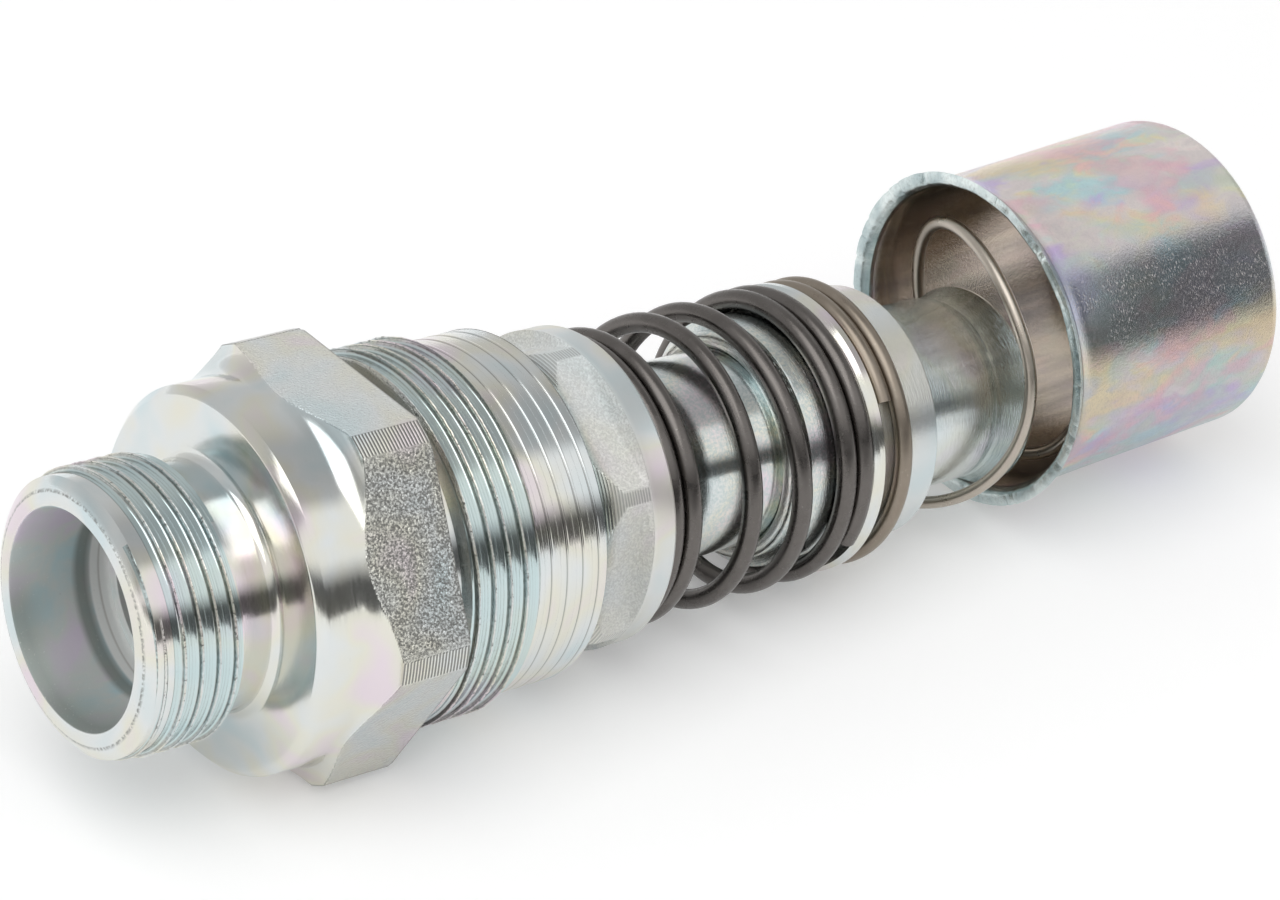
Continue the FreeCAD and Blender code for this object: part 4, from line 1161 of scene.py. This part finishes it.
class COUPLER_OT_stage(PieceOperator, Operator):
    """Pale floor, soft studio light and the camera"""

    bl_idname = "coupler.stage"
    bl_label = "Stage"

    def execute(self, context):
        scene = context.scene
        stage = scene.coupler_stage
        self.add_floor(stage, scene.coupler_colours)
        self.add_world(scene)
        for name, edges in SCREENS.items():
            self.add_screen(name, *edges)
        self.add_panel(scene, stage)
        for name, card in CARDS.items():
            self.add_card(name, *card)
        self.add_camera(scene, stage)
        scene.view_settings.view_transform = "Standard"
        return {"FINISHED"}

    def add_floor(self, stage, colours):
        """A pale floor that takes shadows, glows to what sees it and turns white away from the part."""
        rise, (station, height) = math.tan(stage.floor_tip), FLOOR_FOOT
        near, far = -FLOOR_HALF, FLOOR_HALF
        sides = ((near, near), (far, near), (far, far), (near, far))
        corners = [(x, y, height + (x - station) * rise) for x, y in sides]
        floor = mesh_piece("floor", corners, [(0, 1, 2, 3)])
        material = bpy.data.materials.new("studio_floor")
        graph = bare_graph(material)
        rays = graph.add("ShaderNodeLightPath").outputs
        seen = graph.math("MAXIMUM", rays["Is Camera Ray"], graph.math(
            "MAXIMUM", rays["Is Glossy Ray"], rays["Is Transmission Ray"]))
        away = graph.vector("LENGTH", graph.add("ShaderNodeTexCoord").outputs["Object"])
        glow = graph.times(seen, graph.span(away, *GLOW_REACH, stage.glow, FAR_GLOW))
        paper = graph.add("ShaderNodeBsdfDiffuse", {"Color": (*colours.floor, 1.0)}).outputs[0]
        white = graph.add("ShaderNodeEmission", {"Color": WHITE, "Strength": glow}).outputs[0]
        top = graph.add("ShaderNodeAddShader", {0: paper, 1: white}).outputs[0]
        clear = graph.add("ShaderNodeBsdfTransparent").outputs[0]
        under = graph.add("ShaderNodeNewGeometry").outputs["Backfacing"]
        shader = graph.add("ShaderNodeMixShader", {0: under, 1: top, 2: clear}).outputs[0]
        graph.add("ShaderNodeOutputMaterial", {"Surface": shader})
        floor.data.materials.append(material)

    def add_world(self, scene):
        scene.world = bpy.data.worlds.new("studio")
        graph = bare_graph(scene.world)
        white = graph.add("ShaderNodeBackground", {"Color": WHITE, "Strength": 1.0}).outputs[0]
        graph.add("ShaderNodeOutputWorld", {"Surface": white})

    def add_sheet(self, name, rows, grey=None):
        """A sheet through rows of points, which glows in one grey or else in SCREEN_LEVELS."""
        width, faces = len(rows[0]), []
        for row in range(len(rows) - 1):
            for first in range(row * width, row * width + width - 1):
                faces.append((first, first + 1, first + width + 1, first + width))
        sheet = mesh_piece(name, [point for row in rows for point in row], faces)
        material = bpy.data.materials.new(name)
        graph = bare_graph(material)
        if grey is None:
            _, y, z = graph.split(graph.add("ShaderNodeTexCoord").outputs["Object"])
            share = graph.math("MULTIPLY_ADD", graph.azimuth(y, z), 1 / TURN, 0.5)
            tint = graph.ramp(share, [
                (angle / 360 + 0.5, (level, level, level)) for angle, level in SCREEN_LEVELS])
        else:
            tint = (grey, grey, grey, 1.0)
        light = graph.add("ShaderNodeEmission", {"Color": tint, "Strength": 1.0}).outputs[0]
        graph.add("ShaderNodeOutputMaterial", {"Surface": light})
        sheet.data.materials.append(material)
        sheet.visible_camera = False
        return sheet

    def add_screen(self, name, start, end):
        """A wide screen bent round the part outside the picture."""
        rows = []
        for azimuth in sweep(start, end, SCREEN_FACES):
            row = []
            for slant in sweep(*SCREEN_SLANTS):
                along, out = SCREEN_RADIUS * math.cos(slant), SCREEN_RADIUS * math.sin(slant)
                row.append((MIDDLE.x - along, -out * math.cos(azimuth), out * math.sin(azimuth)))
            rows.append(row)
        screen = self.add_sheet(name, rows)

    def add_card(self, name, start, end, grey):
        """A card bent round the cup's near side, which only reflections show."""
        rows = []
        for azimuth in sweep(start, end, CARD_FACES):
            across, up = -CARD_RADIUS * math.cos(azimuth), CARD_RADIUS * math.sin(azimuth)
            rows.append([(x, across, up) for x in CARD_ENDS])
        card = self.add_sheet(name, rows, grey)
        card.visible_diffuse = card.visible_shadow = card.visible_transmission = False

    def add_panel(self, scene, stage):
        """A soft square lamp over the part."""
        data = bpy.data.lights.new("overhead_panel", "AREA")
        data.size = PANEL_SIZE
        data.energy = stage.panel_power
        panel = bpy.data.objects.new("overhead_panel", data)
        panel.location = PANEL_PLACE
        panel.rotation_euler = (MIDDLE - panel.location).to_track_quat("-Z", "Y").to_euler()
        panel.visible_camera = False
        scene.collection.objects.link(panel)

    def add_camera(self, scene, stage):
        data = bpy.data.cameras.new("camera")
        data.lens = stage.lens
        data.sensor_fit = "HORIZONTAL"
        data.sensor_width = 36.0
        data.clip_start = 0.01
        camera = bpy.data.objects.new("camera", data)
        right = VIEW_RIGHT.normalized()
        back = (VIEW_BACK - right * VIEW_BACK.dot(right)).normalized()
        turn = Matrix((right, back.cross(right), back)).transposed().to_4x4()
        camera.matrix_world = Matrix.Translation(stage.eye) @ turn
        scene.collection.objects.link(camera)
        scene.camera = camera


PIECES = (
    COUPLER_OT_port_body, COUPLER_OT_guide_nut, COUPLER_OT_springs, COUPLER_OT_cup, COUPLER_OT_sleeve,
    COUPLER_OT_seals, COUPLER_OT_stage)
GROUPS = {
    "coupler_threads": CouplerThreads, "coupler_springs": CouplerSprings,
    "coupler_colours": CouplerColours, "coupler_stage": CouplerStage}


class COUPLER_PT_pieces(Panel):
    """The cartridge's pieces and their sizes"""

    bl_label = "Multi-coupler cartridge"
    bl_space_type = "VIEW_3D"
    bl_region_type = "UI"
    bl_category = "Coupler"

    def draw(self, context):
        for piece in PIECES:
            self.layout.operator(piece.bl_idname)
        for group in GROUPS:
            sizes = getattr(context.scene, group)
            box = self.layout.box()
            for name in sizes.bl_rna.properties.keys():
                if name not in {"rna_type", "name"}:
                    box.prop(sizes, name)


CLASSES = (*GROUPS.values(), *PIECES, COUPLER_PT_pieces)


def register():
    for item in CLASSES:
        bpy.utils.register_class(item)
    for name, group in GROUPS.items():
        setattr(bpy.types.Scene, name, PointerProperty(type=group))


def unregister():
    for name in GROUPS:
        delattr(bpy.types.Scene, name)
    for item in reversed(CLASSES):
        bpy.utils.unregister_class(item)


def main():
    register()
    bpy.ops.coupler.port_body()
    bpy.ops.coupler.guide_nut()
    bpy.ops.coupler.springs()
    bpy.ops.coupler.cup()
    bpy.ops.coupler.sleeve()
    bpy.ops.coupler.seals()
    bpy.ops.coupler.stage()
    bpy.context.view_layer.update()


if __name__ == "__main__":
    main()
